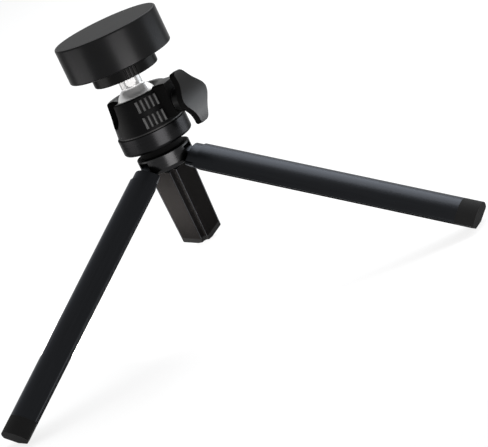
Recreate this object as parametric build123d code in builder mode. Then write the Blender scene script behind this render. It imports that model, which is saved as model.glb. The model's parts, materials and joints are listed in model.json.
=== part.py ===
import os
from math import asin, cos, degrees, radians, sin, sqrt, tan

from build123d import *

os.makedirs("parts", exist_ok=True)

# A webcam on a tabletop tripod with a ball head. Millimetres, +Z up, floor at zero,
# the tripod's axis on Z. The front is -Y, and the rear leg points to +Y.

# legs
leg_radius = 11.7
leg_sector = 120.0
leg_spread = 60.0
leg_length = 130.1
leg_wall = 1.8
leg_gap = 0.3
leg_relief = 2.0
leg_corner = 0.9
leg_sides = (("right", -30, 1), ("rear", 90, 1), ("left", 210, -1))
tongue_length = 5.7
shoulder_length = 4.0
shoulder_inset = 0.5
tongue_radius = 1.7
tongue_width = 5.6
plug_depth = 8.0
plug_clearance = 0.05
foot_length = 8.8
foot_edge = 0.8
sole_depth = 1.6

# hub and hinges
hub_radius = 11.8
hub_foot_radius = 10.3
hub_taper = 1.6
hub_above_pin = 2.8
hub_below_pin = 4.5
hinge_radius = 7.5
neck_radius = 9.5
hub_shoulder = 0.4
neck_height = 3.5
pin_radius = 1.0
pin_grip = 2.4
pin_clearance = 0.04
slot_clearance = 0.15
hinge_washer_radius = 1.6
hinge_washer_thickness = 0.4

# screw that holds hub, base ring and pan pivot together
hub_screw_radius = 2.0
hub_screw_length = 14.4
hub_screw_head_radius = 3.5
hub_screw_head_height = 2.8
hub_screw_sink = 3.8
hole_clearance = 0.15
hex_across_corners = 3.6
hex_depth = 1.4
thread_clearance = 0.03
running_clearance = 0.05

# base ring and pan joint
ring_radius = 15.35
ring_height = 7.6
ring_lower_edge = 1.4
ring_upper_edge = 0.4
pan_washer_radius = 14.35
pan_washer_thickness = 0.7
pan_pivot_radius = 5.0
pan_pivot_recess = 4.0
pan_head_radius = 6.6
pan_head_height = 1.3
pan_head_clearance = 0.3
ball_sweep_clearance = 0.3
floor_ring_radius = 11.0
floor_ring_thickness = 2.6

# ball head casing
casing_height = 14.8
casing_top_radius = 13.3
casing_bottom_radius = 14.75
mouth_radius = 11.0
lip_drop = 1.5
ball_drop = 5.0
ball_radius = 9.2
ball_flat_drop = 6.0
ball_clearance = 0.06
seat_height = 3.0
notch_clearance = 0.8
notch_azimuth = 192.0
rim_edge = 0.6
rib_count = 5
rib_pitch = 2.1
rib_width = 1.05
rib_corner = 0.35
rib_height = 5.0
rib_row_pitch = 7.2
rib_rise = 0.4
rib_root = 1.8
rib_azimuths = (-80, 100)

# ball stem, camera stud and lock disc
stem_radius = 4.8
stem_flare = 1.0
stem_show = 8.4
flat_width = 4.4
flat_depth = 0.5
flat_rise = 3.4
stud_radius = 3.175
stud_socket = 8.0
stud_reach = 4.8
disc_radius = 14.3
disc_thickness = 5.1
disc_edge = 0.6
disc_groove_radius = 0.5
disc_groove_count = 4
disc_groove_angle = 6.0
disc_groove_azimuths = (-82, 38, 158)
pad_radius = 13.4
pad_thickness = 0.7

# lock screw and wing knob
knob_azimuth = -38.0
knob_drop = 3.5
ear_width = 10.4
ear_reach = 18.5
ear_corner = 1.0
ear_lift = 1.2
ear_rise = 1.0
shoe_radius = 3.0
shoe_back = 11.0
lock_screw_radius = 2.5
lock_screw_grip = 4.6
knob_washer_thickness = 0.6
knob_washer_radius = 4.6
knob_hub_radius = 5.2
knob_hub_length = 5.65
wing_thickness = 2.8
wing_half_length = 12.2
wing_tip_half_width = 3.0
wing_waist_height = 6.8
wing_waist_half_width = 5.0
wing_half_width = 9.7
wing_lobe_half_height = 1.5
wing_corner = 1.6
wing_bow = 2.3
wing_cant = 6.5

# webcam housing
webcam_radius = 22.8
webcam_height = 16.0
webcam_wall = 1.5
webcam_roof = 1.6
webcam_edge = 0.7
cover_thickness = 2.0
cover_clearance = 0.1
post_inset = 4.1
post_azimuths = (10, 170, 232, 308)
post_radius = 2.5
post_shoulder = 1.0
standoff_wall = 1.0
cover_screw_radius = 1.0
cover_screw_length = 9.0
cover_screw_head_radius = 2.0
cover_screw_head_angle = 90.0
cross_recess_length = 1.6
cross_recess_width = 0.5
insert_radius = 4.6
insert_depth = 5.5
insert_boss_wall = 1.9
insert_boss_roof = 0.5

# lens and boards
lens_spot_depth = 0.8
lens_spot_margin = 1.0
bezel_radius = 5.2
bezel_flange = 0.6
bezel_flange_thickness = 1.2
bezel_front_gap = 0.3
bezel_length = 3.5
bezel_bore = 4.2
window_radius = 4.6
window_thickness = 0.8
window_gap = 0.7
barrel_radius = 4.0
barrel_length = 8.5
barrel_wall = 0.8
element_count = 3
element_pitch = 2.6
element_edge = 0.8
element_dome = 0.6
holder_width = 11.0
holder_length = 6.5
sensor_width = 7.0
sensor_height = 6.0
sensor_thickness = 1.0
sensor_room = 0.4
sensor_board_width = 26.0
sensor_board_thickness = 1.0
sensor_board_depth = 13.6
sensor_board_clearance = 0.2
side_port_offset = 11.0
lamp_size = 1.6
lamp_thickness = 0.8
pipe_radius = 1.0
microphone_width = 3.5
microphone_thickness = 1.0
boot_radius = 2.2
boot_bore = 0.6
main_board_margin = 0.9
main_board_thickness = 1.2
main_board_gap = 0.8
main_board_setback = 1.1
processor_size = 8.0
processor_thickness = 1.1
processor_back = 5.0
ribbon_width = 8.0
ribbon_thickness = 0.3
ribbon_rise = 3.2
ribbon_foot = 2.2
usb_width = 9.0
usb_height = 3.2
usb_wall = 0.3
usb_inset = 5.8
usb_recess = 0.2
usb_clearance = 0.2
usb_tongue_width = 6.7
usb_tongue_thickness = 0.7
usb_tongue_setback = 1.0
usb_tongue_length = 2.6

# heights that follow from the sizes above
half_sector = radians(leg_sector / 2)
spread = radians(leg_spread)
pivot_height = (
    (hinge_radius - leg_relief * cos(half_sector)) * sin(spread)
    + leg_length * cos(spread)
    - sole_depth
)
hub_bottom = pivot_height - hub_below_pin
hub_top = pivot_height + hub_above_pin
ring_bottom = hub_top + neck_height
ring_top = ring_bottom + ring_height
casing_bottom = ring_top + pan_washer_thickness
floor_top = casing_bottom + floor_ring_thickness
rim = casing_bottom + casing_height
ball_height = rim - ball_drop
knob_height = ball_height - knob_drop
disc_bottom = rim + stem_show
pad_bottom = disc_bottom + disc_thickness
webcam_bottom = pad_bottom + pad_thickness
webcam_top = webcam_bottom + webcam_height
cover_top = webcam_bottom + cover_thickness
roof = webcam_top - webcam_roof
lens_height = webcam_bottom + webcam_height / 2

# sizes that follow from a fit
slot_width = tongue_width + 2 * hinge_washer_thickness
slot_inner = hinge_radius - tongue_radius - slot_clearance
slot_roof = pivot_height + tongue_radius + slot_clearance
pin_half_length = slot_width / 2 + pin_grip
tube_start = tongue_length + shoulder_length
tube_end = leg_length - foot_length
socket_radius = ball_radius + ball_clearance
lip_angle = degrees(asin((ball_drop - lip_drop) / socket_radius))
notch_half_width = stem_radius + notch_clearance
casing_slope = (casing_bottom_radius - casing_top_radius) / casing_height
knob_face = ear_reach + knob_washer_thickness
wing_back = knob_face + knob_hub_length
webcam_bore = webcam_radius - webcam_wall
post_ring_radius = webcam_bore - post_inset
spot_front = webcam_radius - lens_spot_depth
bezel_front = webcam_radius - bezel_front_gap
bezel_back = bezel_front - bezel_length
window_back = bezel_front - window_thickness
barrel_front = window_back - window_gap
barrel_back = barrel_front - barrel_length
board_back = bezel_front - sensor_board_depth
board_front = board_back + sensor_board_thickness
insert_boss_top = webcam_bottom + insert_depth + insert_boss_roof
main_board_bottom = insert_boss_top + main_board_gap
main_board_top = main_board_bottom + main_board_thickness


def outward(azimuth):
    return Vector(1, 0, 0).rotate(Axis.Z, azimuth)


def leg_plane(azimuth):
    along = outward(azimuth) * sin(spread) - Vector(0, 0, cos(spread))
    upper_side = outward(azimuth) * cos(spread) + Vector(0, 0, sin(spread))
    pivot = outward(azimuth) * hinge_radius + Vector(0, 0, pivot_height)
    return Plane(pivot, x_dir=upper_side, z_dir=along)


def pin_plane(azimuth, entry_side):
    pivot = outward(azimuth) * hinge_radius + Vector(0, 0, pivot_height)
    return Plane(pivot, x_dir=outward(azimuth), z_dir=outward(azimuth + 90) * entry_side)


def leg_section(inset):
    wedge_tip = leg_gap / 2 / sin(half_sector) - hinge_radius
    wedge_length = 2 * leg_radius
    wedge_half_width = wedge_length * tan(half_sector)
    with BuildSketch() as section:
        with Locations((-hinge_radius, 0)):
            Circle(leg_radius)
        with BuildLine():
            Polyline(
                (wedge_tip, 0),
                (wedge_tip + wedge_length, -wedge_half_width),
                (wedge_tip + wedge_length, wedge_half_width),
                close=True,
            )
        make_face(mode=Mode.INTERSECT)
        with Locations((-hinge_radius, 0)):
            Circle(leg_relief, mode=Mode.SUBTRACT)
        corners = section.vertices().sort_by(Axis.Y)
        fillet((corners[0], corners[-1]), radius=leg_corner)
        if inset > 0:
            offset(amount=-inset)
    return section.sketch


def build_leg(side, azimuth):
    base = leg_plane(azimuth)
    tongue = Plane(base.origin, x_dir=base.z_dir, z_dir=base.y_dir)
    plug_inset = leg_wall + plug_clearance

    with BuildPart() as leg_knuckle:
        with BuildSketch(base.offset(tongue_length)):
            add(leg_section(shoulder_inset))
        extrude(amount=shoulder_length)
        with BuildSketch(base.offset(tube_start)):
            add(leg_section(plug_inset))
        extrude(amount=plug_depth)
        with BuildSketch(tongue):
            Circle(tongue_radius)
            Rectangle(tube_start, 2 * tongue_radius, align=(Align.MIN, Align.CENTER))
        extrude(amount=tongue_width / 2, both=True)
        with BuildSketch(tongue):
            Circle(pin_radius + pin_clearance)
        extrude(amount=tongue_width, both=True, mode=Mode.SUBTRACT)
    leg_knuckle.part.label = f"leg_knuckle_{side}"
    export_step(leg_knuckle.part, f"parts/leg_knuckle_{side}.step")

    with BuildPart() as leg_tube:
        with BuildSketch(base.offset(tube_start)):
            add(leg_section(0))
        extrude(amount=tube_end - tube_start)
        with BuildSketch(base.offset(tube_start)):
            add(leg_section(leg_wall))
        extrude(amount=tube_end - tube_start, mode=Mode.SUBTRACT)
    leg_tube.part.label = f"leg_tube_{side}"
    export_step(leg_tube.part, f"parts/leg_tube_{side}.step")

    with BuildPart() as leg_foot:
        with BuildSketch(base.offset(tube_end)):
            add(leg_section(0))
        extrude(amount=foot_length - foot_edge)
        with BuildSketch(base.offset(leg_length - foot_edge)):
            add(leg_section(0))
        with BuildSketch(base.offset(leg_length)):
            add(leg_section(foot_edge))
        loft()
        with BuildSketch(base.offset(tube_end)):
            add(leg_section(plug_inset))
        extrude(amount=-plug_depth)
        split(bisect_by=Plane.XY, keep=Keep.TOP)
    leg_foot.part.label = f"leg_foot_{side}"
    export_step(leg_foot.part, f"parts/leg_foot_{side}.step")


for side, azimuth, entry_side in leg_sides:
    build_leg(side, azimuth)

# hub: a turned collar, slotted for the legs, with the pin bores drilled from the rear
with BuildPart() as hub:
    with BuildSketch(Plane.XZ):
        with BuildLine():
            Polyline(
                (0, hub_bottom),
                (hub_foot_radius, hub_bottom),
                (hub_radius, hub_bottom + hub_taper),
                (hub_radius, hub_top),
                (neck_radius, hub_top),
                (neck_radius, ring_bottom),
                (0, ring_bottom),
                close=True,
            )
        make_face()
    revolve(axis=Axis.Z)
    shoulder = hub.edges().filter_by(GeomType.CIRCLE).sort_by(
        lambda edge: abs(edge.center().Z - hub_top) + abs(edge.radius - hub_radius)
    )[0]
    fillet(shoulder, radius=hub_shoulder)
    for side, azimuth, entry_side in leg_sides:
        hinge = pin_plane(azimuth, entry_side)
        across = Plane((0, 0, slot_roof), x_dir=outward(azimuth), z_dir=(0, 0, -1))
        with BuildSketch(across):
            with Locations((slot_inner, 0)):
                Rectangle(hub_radius, slot_width, align=(Align.MIN, Align.CENTER))
        extrude(amount=slot_roof - hub_bottom, mode=Mode.SUBTRACT)
        with BuildSketch(hinge.offset(-pin_half_length)):
            Circle(pin_radius)
        extrude(amount=pin_half_length + hub_radius, mode=Mode.SUBTRACT)
    with Locations(Plane((0, 0, hub_bottom), x_dir=(1, 0, 0), z_dir=(0, 0, -1))):
        CounterBoreHole(
            radius=hub_screw_radius + hole_clearance,
            counter_bore_radius=hub_screw_head_radius + hole_clearance,
            counter_bore_depth=hub_screw_sink,
        )
hub.part.label = "hub"
export_step(hub.part, "parts/hub.step")

with BuildPart() as hinge_pins:
    for side, azimuth, entry_side in leg_sides:
        with BuildSketch(pin_plane(azimuth, entry_side)):
            Circle(pin_radius)
        extrude(amount=pin_half_length, both=True)
hinge_pins.part.label = "hinge_pins"
export_step(hinge_pins.part, "parts/hinge_pins.step")

with BuildPart() as hinge_washers:
    for side, azimuth, entry_side in leg_sides:
        for facing in (-1, 1):
            with BuildSketch(pin_plane(azimuth, facing).offset(tongue_width / 2)):
                Circle(hinge_washer_radius)
                Circle(pin_radius + pin_clearance, mode=Mode.SUBTRACT)
            extrude(amount=hinge_washer_thickness)
hinge_washers.part.label = "hinge_washers"
export_step(hinge_washers.part, "parts/hinge_washers.step")

# base ring, the pan pivot that stands in it, and the screw that comes up through the hub
hub_screw_seat = hub_bottom + hub_screw_sink
hub_screw_tip = hub_screw_seat + hub_screw_length

with BuildPart() as hub_screw:
    with BuildSketch(Plane.XY.offset(hub_screw_seat)):
        Circle(hub_screw_head_radius)
    extrude(amount=-hub_screw_head_height)
    with BuildSketch(Plane.XY.offset(hub_screw_seat - hub_screw_head_height)):
        RegularPolygon(hex_across_corners / 2, 6)
    extrude(amount=hex_depth, mode=Mode.SUBTRACT)
    with BuildSketch(Plane.XY.offset(hub_screw_seat)):
        Circle(hub_screw_radius)
    extrude(amount=hub_screw_length)
hub_screw.part.label = "hub_screw"
export_step(hub_screw.part, "parts/hub_screw.step")

with BuildPart() as base_ring:
    with BuildSketch(Plane.XY.offset(ring_bottom)):
        Circle(ring_radius)
    extrude(amount=ring_height)
    fillet(base_ring.edges().group_by(Axis.Z)[0], radius=ring_lower_edge)
    fillet(base_ring.edges().group_by(Axis.Z)[-1], radius=ring_upper_edge)
    with Locations((0, 0, ring_top)):
        CounterBoreHole(
            radius=hub_screw_radius + hole_clearance,
            counter_bore_radius=pan_pivot_radius + thread_clearance,
            counter_bore_depth=pan_pivot_recess,
        )
base_ring.part.label = "base_ring"
export_step(base_ring.part, "parts/base_ring.step")

pan_pivot_foot = ring_top - pan_pivot_recess
pan_head_bottom = floor_top - pan_head_height

with BuildPart() as pan_pivot:
    with BuildSketch(Plane.XY.offset(pan_pivot_foot)):
        Circle(pan_pivot_radius)
    extrude(amount=pan_head_bottom - pan_pivot_foot)
    with BuildSketch(Plane.XY.offset(pan_head_bottom)):
        Circle(pan_head_radius)
    extrude(amount=pan_head_height)
    with BuildSketch(Plane.XY.offset(pan_pivot_foot)):
        Circle(hub_screw_radius + thread_clearance)
    extrude(amount=hub_screw_tip + hole_clearance - pan_pivot_foot, mode=Mode.SUBTRACT)
    with Locations((0, 0, ball_height)):
        Sphere(ball_radius + ball_sweep_clearance, mode=Mode.SUBTRACT)
pan_pivot.part.label = "pan_pivot"
export_step(pan_pivot.part, "parts/pan_pivot.step")

with BuildPart() as pan_washer:
    with BuildSketch(Plane.XY.offset(ring_top)):
        Circle(pan_washer_radius)
        Circle(pan_pivot_radius + thread_clearance, mode=Mode.SUBTRACT)
    extrude(amount=pan_washer_thickness)
pan_washer.part.label = "pan_washer"
export_step(pan_washer.part, "parts/pan_washer.step")

with BuildPart() as casing_floor_ring:
    with BuildSketch(Plane.XY.offset(casing_bottom)):
        Circle(floor_ring_radius)
    extrude(amount=floor_ring_thickness)
    with Locations((0, 0, floor_top)):
        CounterBoreHole(
            radius=pan_pivot_radius + running_clearance,
            counter_bore_radius=pan_head_radius + pan_head_clearance,
            counter_bore_depth=pan_head_height,
        )
casing_floor_ring.part.label = "casing_floor_ring"
export_step(casing_floor_ring.part, "parts/casing_floor_ring.step")

# head casing: a cone with a ribbed grip, an ear for the knob and a notch for the stem
knob_plane = Plane(
    (0, 0, knob_height), x_dir=outward(knob_azimuth + 90), z_dir=outward(knob_azimuth)
)
notch_plane = Plane(
    (0, 0, ball_height), x_dir=outward(notch_azimuth + 90), z_dir=outward(notch_azimuth)
)
ear_bottom = casing_bottom + ear_lift
ear_top = rim + ear_rise

with BuildPart() as head_casing:
    with BuildSketch(Plane.XZ):
        with BuildLine():
            Polyline(
                (0, casing_bottom),
                (casing_bottom_radius, casing_bottom),
                (casing_top_radius, rim),
                (0, rim),
                close=True,
            )
        make_face()
    revolve(axis=Axis.Z)
    fillet(head_casing.edges().group_by(Axis.Z)[-1], radius=rim_edge)
    with BuildSketch(knob_plane):
        with Locations((0, ear_bottom - knob_height)):
            RectangleRounded(
                ear_width, ear_top - ear_bottom, ear_corner, align=(Align.CENTER, Align.MIN)
            )
    extrude(amount=ear_reach)
    rib_middle = (casing_top_radius + casing_bottom_radius) / 2
    for azimuth in rib_azimuths:
        rib_centre = outward(azimuth) * rib_middle + Vector(0, 0, casing_bottom + casing_height / 2)
        facing = outward(azimuth) + Vector(0, 0, casing_slope)
        rib_plane = Plane(rib_centre, x_dir=outward(azimuth + 90), z_dir=facing)
        with BuildSketch(rib_plane.offset(rib_rise)):
            with GridLocations(rib_pitch, rib_row_pitch, rib_count, 2):
                RectangleRounded(rib_width, rib_height, rib_corner)
        extrude(amount=-rib_root)
    with BuildSketch(Plane.XZ):
        with BuildLine():
            Line((0, casing_bottom), (floor_ring_radius + thread_clearance, casing_bottom))
            Line(
                (floor_ring_radius + thread_clearance, casing_bottom),
                (floor_ring_radius + thread_clearance, floor_top),
            )
            Line((floor_ring_radius + thread_clearance, floor_top), (socket_radius, floor_top))
            Line((socket_radius, floor_top), (socket_radius, ball_height))
            lip = CenterArc((0, ball_height), socket_radius, 0, lip_angle)
            Line(lip @ 1, (mouth_radius, rim))
            Line((mouth_radius, rim), (casing_top_radius, rim))
            Line((casing_top_radius, rim), (casing_top_radius, ear_top))
            Line((casing_top_radius, ear_top), (0, ear_top))
            Line((0, ear_top), (0, casing_bottom))
        make_face()
    revolve(axis=Axis.Z, mode=Mode.SUBTRACT)
    with BuildSketch(notch_plane):
        Circle(notch_half_width)
        Rectangle(2 * notch_half_width, ball_drop, align=(Align.CENTER, Align.MIN))
    extrude(amount=casing_bottom_radius, mode=Mode.SUBTRACT)
    with BuildSketch(knob_plane):
        Circle(shoe_radius + running_clearance)
    extrude(amount=shoe_back, mode=Mode.SUBTRACT)
    with BuildSketch(knob_plane):
        Circle(lock_screw_radius + running_clearance)
    extrude(amount=ear_reach, mode=Mode.SUBTRACT)
head_casing.part.label = "head_casing"
export_step(head_casing.part, "parts/head_casing.step")

with BuildPart() as ball_seat:
    with BuildSketch(Plane.XY.offset(floor_top)):
        Circle(socket_radius - thread_clearance)
    extrude(amount=seat_height)
    with Locations((0, 0, ball_height)):
        Sphere(socket_radius, mode=Mode.SUBTRACT)
    with BuildSketch(Plane.XY.offset(floor_top)):
        Circle(sqrt(socket_radius**2 - (ball_height - floor_top) ** 2))
    extrude(amount=seat_height, mode=Mode.SUBTRACT)
    with BuildSketch(knob_plane):
        Circle(shoe_radius + hole_clearance)
    extrude(amount=shoe_back, mode=Mode.SUBTRACT)
ball_seat.part.label = "ball_seat"
export_step(ball_seat.part, "parts/ball_seat.step")

with BuildPart() as brake_shoe:
    with BuildSketch(knob_plane):
        Circle(shoe_radius)
    extrude(amount=shoe_back)
    with Locations((0, 0, ball_height)):
        Sphere(socket_radius, mode=Mode.SUBTRACT)
brake_shoe.part.label = "brake_shoe"
export_step(brake_shoe.part, "parts/brake_shoe.step")

with BuildPart() as lock_screw:
    with BuildSketch(knob_plane.offset(shoe_back)):
        Circle(lock_screw_radius)
    extrude(amount=knob_face + lock_screw_grip - shoe_back)
lock_screw.part.label = "lock_screw"
export_step(lock_screw.part, "parts/lock_screw.step")

with BuildPart() as knob_washer:
    with BuildSketch(knob_plane.offset(ear_reach)):
        Circle(knob_washer_radius)
        Circle(lock_screw_radius + running_clearance, mode=Mode.SUBTRACT)
    extrude(amount=knob_washer_thickness)
knob_washer.part.label = "knob_washer"
export_step(knob_washer.part, "parts/knob_washer.step")

# wing knob: the wing is arched, and its upper tip leans towards the casing
wing_plane = knob_plane.offset(wing_back).rotated((-wing_cant, 0, 0))
wing_radius = (wing_half_length**2 + wing_bow**2) / (2 * wing_bow)
arch_plane = Plane(
    wing_plane.origin + wing_plane.z_dir * (wing_thickness - wing_radius),
    x_dir=wing_plane.z_dir,
    z_dir=wing_plane.x_dir,
)

with BuildPart() as wing_knob:
    with BuildSketch(wing_plane.offset(-2 * wing_bow)) as wing:
        with BuildLine():
            Polyline(
                (0, wing_half_length),
                (wing_tip_half_width, wing_half_length),
                (wing_waist_half_width, wing_waist_height),
                (wing_half_width, wing_lobe_half_height),
                (wing_half_width, 0),
                (0, 0),
                close=True,
            )
        make_face()
        mirror(about=Plane.XZ)
        mirror(about=Plane.YZ)
        fillet(wing.vertices(), radius=wing_corner)
    extrude(amount=2 * wing_bow + wing_thickness)
    with BuildSketch(arch_plane):
        Circle(wing_radius)
        Circle(wing_radius - wing_thickness, mode=Mode.SUBTRACT)
    extrude(amount=wing_half_length, both=True, mode=Mode.INTERSECT)
    with BuildSketch(knob_plane.offset(knob_face)):
        Circle(knob_hub_radius)
    extrude(amount=knob_hub_length + wing_thickness / 2)
    with BuildSketch(knob_plane.offset(knob_face)):
        Circle(lock_screw_radius + thread_clearance)
    extrude(amount=lock_screw_grip, mode=Mode.SUBTRACT)
wing_knob.part.label = "wing_knob"
export_step(wing_knob.part, "parts/wing_knob.step")

# ball with its stem, flatted for a spanner, and the stud that screws into the webcam
with BuildPart() as ball_stem:
    with Locations((0, 0, ball_height)):
        Sphere(ball_radius)
    split(bisect_by=Plane.XY.offset(ball_height - ball_flat_drop), keep=Keep.TOP)
    with BuildSketch(Plane.XY.offset(ball_height)):
        Circle(stem_radius)
    extrude(amount=disc_bottom - ball_height)
    root_height = ball_height + sqrt(ball_radius**2 - stem_radius**2)
    root = ball_stem.edges().filter_by(GeomType.CIRCLE).sort_by(
        lambda edge: abs(edge.center().Z - root_height)
    )[0]
    fillet(root, radius=stem_flare)
    for facing in (-1, 1):
        flat_face = Plane((0, 0, disc_bottom), x_dir=(1, 0, 0), z_dir=(0, facing, 0))
        flat_floor = disc_bottom - stem_show + flat_rise + flat_width / 2
        with BuildSketch(flat_face.offset(stem_radius - flat_depth)):
            with Locations((0, facing * (disc_bottom - flat_floor))):
                Circle(flat_width / 2)
            with Locations((0, facing * (disc_bottom - flat_floor) / 2)):
                Rectangle(flat_width, disc_bottom - flat_floor)
        extrude(amount=stem_radius, mode=Mode.SUBTRACT)
    with BuildSketch(Plane.XY.offset(disc_bottom)):
        Circle(stud_radius + thread_clearance)
    extrude(amount=-stud_socket, mode=Mode.SUBTRACT)
ball_stem.part.label = "ball_stem"
export_step(ball_stem.part, "parts/ball_stem.step")

with BuildPart() as camera_stud:
    with BuildSketch(Plane.XY.offset(disc_bottom - stud_socket)):
        Circle(stud_radius)
    extrude(amount=stud_socket + webcam_bottom - disc_bottom + stud_reach)
camera_stud.part.label = "camera_stud"
export_step(camera_stud.part, "parts/camera_stud.step")

with BuildPart() as lock_disc:
    with BuildSketch(Plane.XY.offset(disc_bottom)):
        Circle(disc_radius)
    extrude(amount=disc_thickness)
    fillet(lock_disc.edges().group_by(Axis.Z)[0], radius=disc_edge)
    with BuildSketch(Plane.XY.offset(disc_bottom)):
        Circle(stud_radius + running_clearance)
        for azimuth in disc_groove_azimuths:
            first = azimuth - disc_groove_angle * (disc_groove_count - 1) / 2
            for groove in range(disc_groove_count):
                with PolarLocations(disc_radius, 1, start_angle=first + groove * disc_groove_angle):
                    Circle(disc_groove_radius)
    extrude(amount=disc_thickness, mode=Mode.SUBTRACT)
lock_disc.part.label = "lock_disc"
export_step(lock_disc.part, "parts/lock_disc.step")

with BuildPart() as disc_pad:
    with BuildSketch(Plane.XY.offset(pad_bottom)):
        Circle(pad_radius)
        Circle(stud_radius + running_clearance, mode=Mode.SUBTRACT)
    extrude(amount=pad_thickness)
disc_pad.part.label = "disc_pad"
export_step(disc_pad.part, "parts/disc_pad.step")

# webcam housing: a cup with posts inside, closed from below by the base cover
lens_plane = Plane((0, 0, lens_height), x_dir=(-1, 0, 0), z_dir=(0, 1, 0))
post_places = [outward(azimuth) * post_ring_radius for azimuth in post_azimuths]
post_places_flat = [(place.X, place.Y) for place in post_places]

with BuildPart() as webcam_shell:
    with BuildSketch(Plane.XY.offset(webcam_bottom)):
        Circle(webcam_radius)
    extrude(amount=webcam_height)
    fillet(webcam_shell.edges().group_by(Axis.Z)[-1], radius=webcam_edge)
    fillet(webcam_shell.edges().group_by(Axis.Z)[0], radius=webcam_edge)
    with BuildSketch(Plane.XY.offset(webcam_bottom)):
        Circle(webcam_bore)
    extrude(amount=roof - webcam_bottom, mode=Mode.SUBTRACT)
    with BuildSketch(Plane.XY.offset(roof)):
        with Locations(*post_places_flat):
            Circle(post_radius + post_shoulder)
    extrude(amount=main_board_top - roof)
    with BuildSketch(Plane.XY.offset(roof)):
        with Locations(*post_places_flat):
            Circle(post_radius)
    extrude(amount=cover_top - roof)
    with BuildSketch(Plane.XY.offset(cover_top)):
        with Locations(*post_places_flat):
            Circle(cover_screw_radius + thread_clearance)
    extrude(amount=cover_screw_length, mode=Mode.SUBTRACT)
    with BuildSketch(lens_plane.offset(spot_front)):
        Circle(bezel_radius + lens_spot_margin)
    extrude(amount=lens_spot_depth, mode=Mode.SUBTRACT)
    with BuildSketch(lens_plane):
        Circle(bezel_radius)
        with Locations((side_port_offset, 0)):
            Circle(pipe_radius + thread_clearance)
        with Locations((-side_port_offset, 0)):
            Circle(boot_bore)
    extrude(amount=webcam_radius, mode=Mode.SUBTRACT)
webcam_shell.part.label = "webcam_shell"
export_step(webcam_shell.part, "parts/webcam_shell.step")

with BuildPart() as webcam_base_cover:
    with BuildSketch(Plane.XY.offset(webcam_bottom)):
        Circle(webcam_bore - cover_clearance)
    extrude(amount=cover_thickness)
    with BuildSketch(Plane.XY.offset(cover_top)):
        Circle(insert_radius + insert_boss_wall)
    extrude(amount=insert_boss_top - cover_top)
    with BuildSketch(Plane.XY.offset(cover_top)):
        with Locations(*post_places_flat):
            Circle(post_radius + cover_clearance + standoff_wall)
            Circle(post_radius + cover_clearance, mode=Mode.SUBTRACT)
    extrude(amount=main_board_bottom - cover_top)
    with BuildSketch(Plane.XY.offset(webcam_bottom)):
        Circle(insert_radius)
    extrude(amount=insert_depth, mode=Mode.SUBTRACT)
    with BuildSketch(Plane.XY.offset(webcam_bottom)):
        with Locations((0, usb_inset - webcam_radius)):
            SlotOverall(usb_width + 2 * usb_clearance, usb_height + 2 * usb_clearance)
    extrude(amount=cover_thickness, mode=Mode.SUBTRACT)
    for place in post_places:
        seat = Plane(place + Vector(0, 0, webcam_bottom), x_dir=(1, 0, 0), z_dir=(0, 0, -1))
        with Locations(seat):
            CounterSinkHole(
                radius=cover_screw_radius + hole_clearance,
                counter_sink_radius=cover_screw_head_radius,
                depth=cover_thickness,
                counter_sink_angle=cover_screw_head_angle,
            )
webcam_base_cover.part.label = "webcam_base_cover"
export_step(webcam_base_cover.part, "parts/webcam_base_cover.step")

with BuildPart() as thread_insert:
    with BuildSketch(Plane.XY.offset(webcam_bottom)):
        Circle(insert_radius)
        Circle(stud_radius + running_clearance, mode=Mode.SUBTRACT)
    extrude(amount=insert_depth)
thread_insert.part.label = "thread_insert"
export_step(thread_insert.part, "parts/thread_insert.step")

head_flare = cover_screw_head_radius - cover_screw_radius - hole_clearance
head_depth = head_flare / tan(radians(cover_screw_head_angle / 2))
with BuildPart() as cover_screws:
    for place in post_places:
        centre = place + Vector(0, 0, webcam_bottom)
        with BuildSketch(Plane(centre)):
            Circle(cover_screw_head_radius)
        with BuildSketch(Plane(centre + Vector(0, 0, head_depth))):
            Circle(cover_screw_radius + hole_clearance)
        loft()
        with BuildSketch(Plane(centre + Vector(0, 0, head_depth))):
            Circle(cover_screw_radius)
        extrude(amount=cover_screw_length - head_depth)
        with BuildSketch(Plane(centre)):
            Rectangle(cross_recess_length, cross_recess_width)
            Rectangle(cross_recess_width, cross_recess_length)
        extrude(amount=head_depth, mode=Mode.SUBTRACT)
cover_screws.part.label = "cover_screws"
export_step(cover_screws.part, "parts/cover_screws.step")

# lens on the far side of the webcam, from the bezel back to the image sensor
with BuildPart() as lens_bezel:
    with BuildSketch(lens_plane.offset(bezel_back)):
        Circle(bezel_radius - thread_clearance)
    extrude(amount=bezel_length)
    with BuildSketch(lens_plane.offset(bezel_back)):
        Circle(bezel_radius + bezel_flange)
    extrude(amount=bezel_flange_thickness)
    with BuildSketch(lens_plane.offset(bezel_back)):
        Circle(bezel_bore)
    extrude(amount=bezel_length, mode=Mode.SUBTRACT)
    with BuildSketch(lens_plane.offset(window_back)):
        Circle(window_radius)
    extrude(amount=window_thickness, mode=Mode.SUBTRACT)
lens_bezel.part.label = "lens_bezel"
export_step(lens_bezel.part, "parts/lens_bezel.step")

with BuildPart() as lens_window:
    with BuildSketch(lens_plane.offset(window_back)):
        Circle(window_radius - thread_clearance)
    extrude(amount=window_thickness)
lens_window.part.label = "lens_window"
export_step(lens_window.part, "parts/lens_window.step")

with BuildPart() as lens_barrel:
    with BuildSketch(lens_plane.offset(barrel_back)):
        Circle(barrel_radius)
        Circle(barrel_radius - barrel_wall, mode=Mode.SUBTRACT)
    extrude(amount=barrel_length)
lens_barrel.part.label = "lens_barrel"
export_step(lens_barrel.part, "parts/lens_barrel.step")

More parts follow.
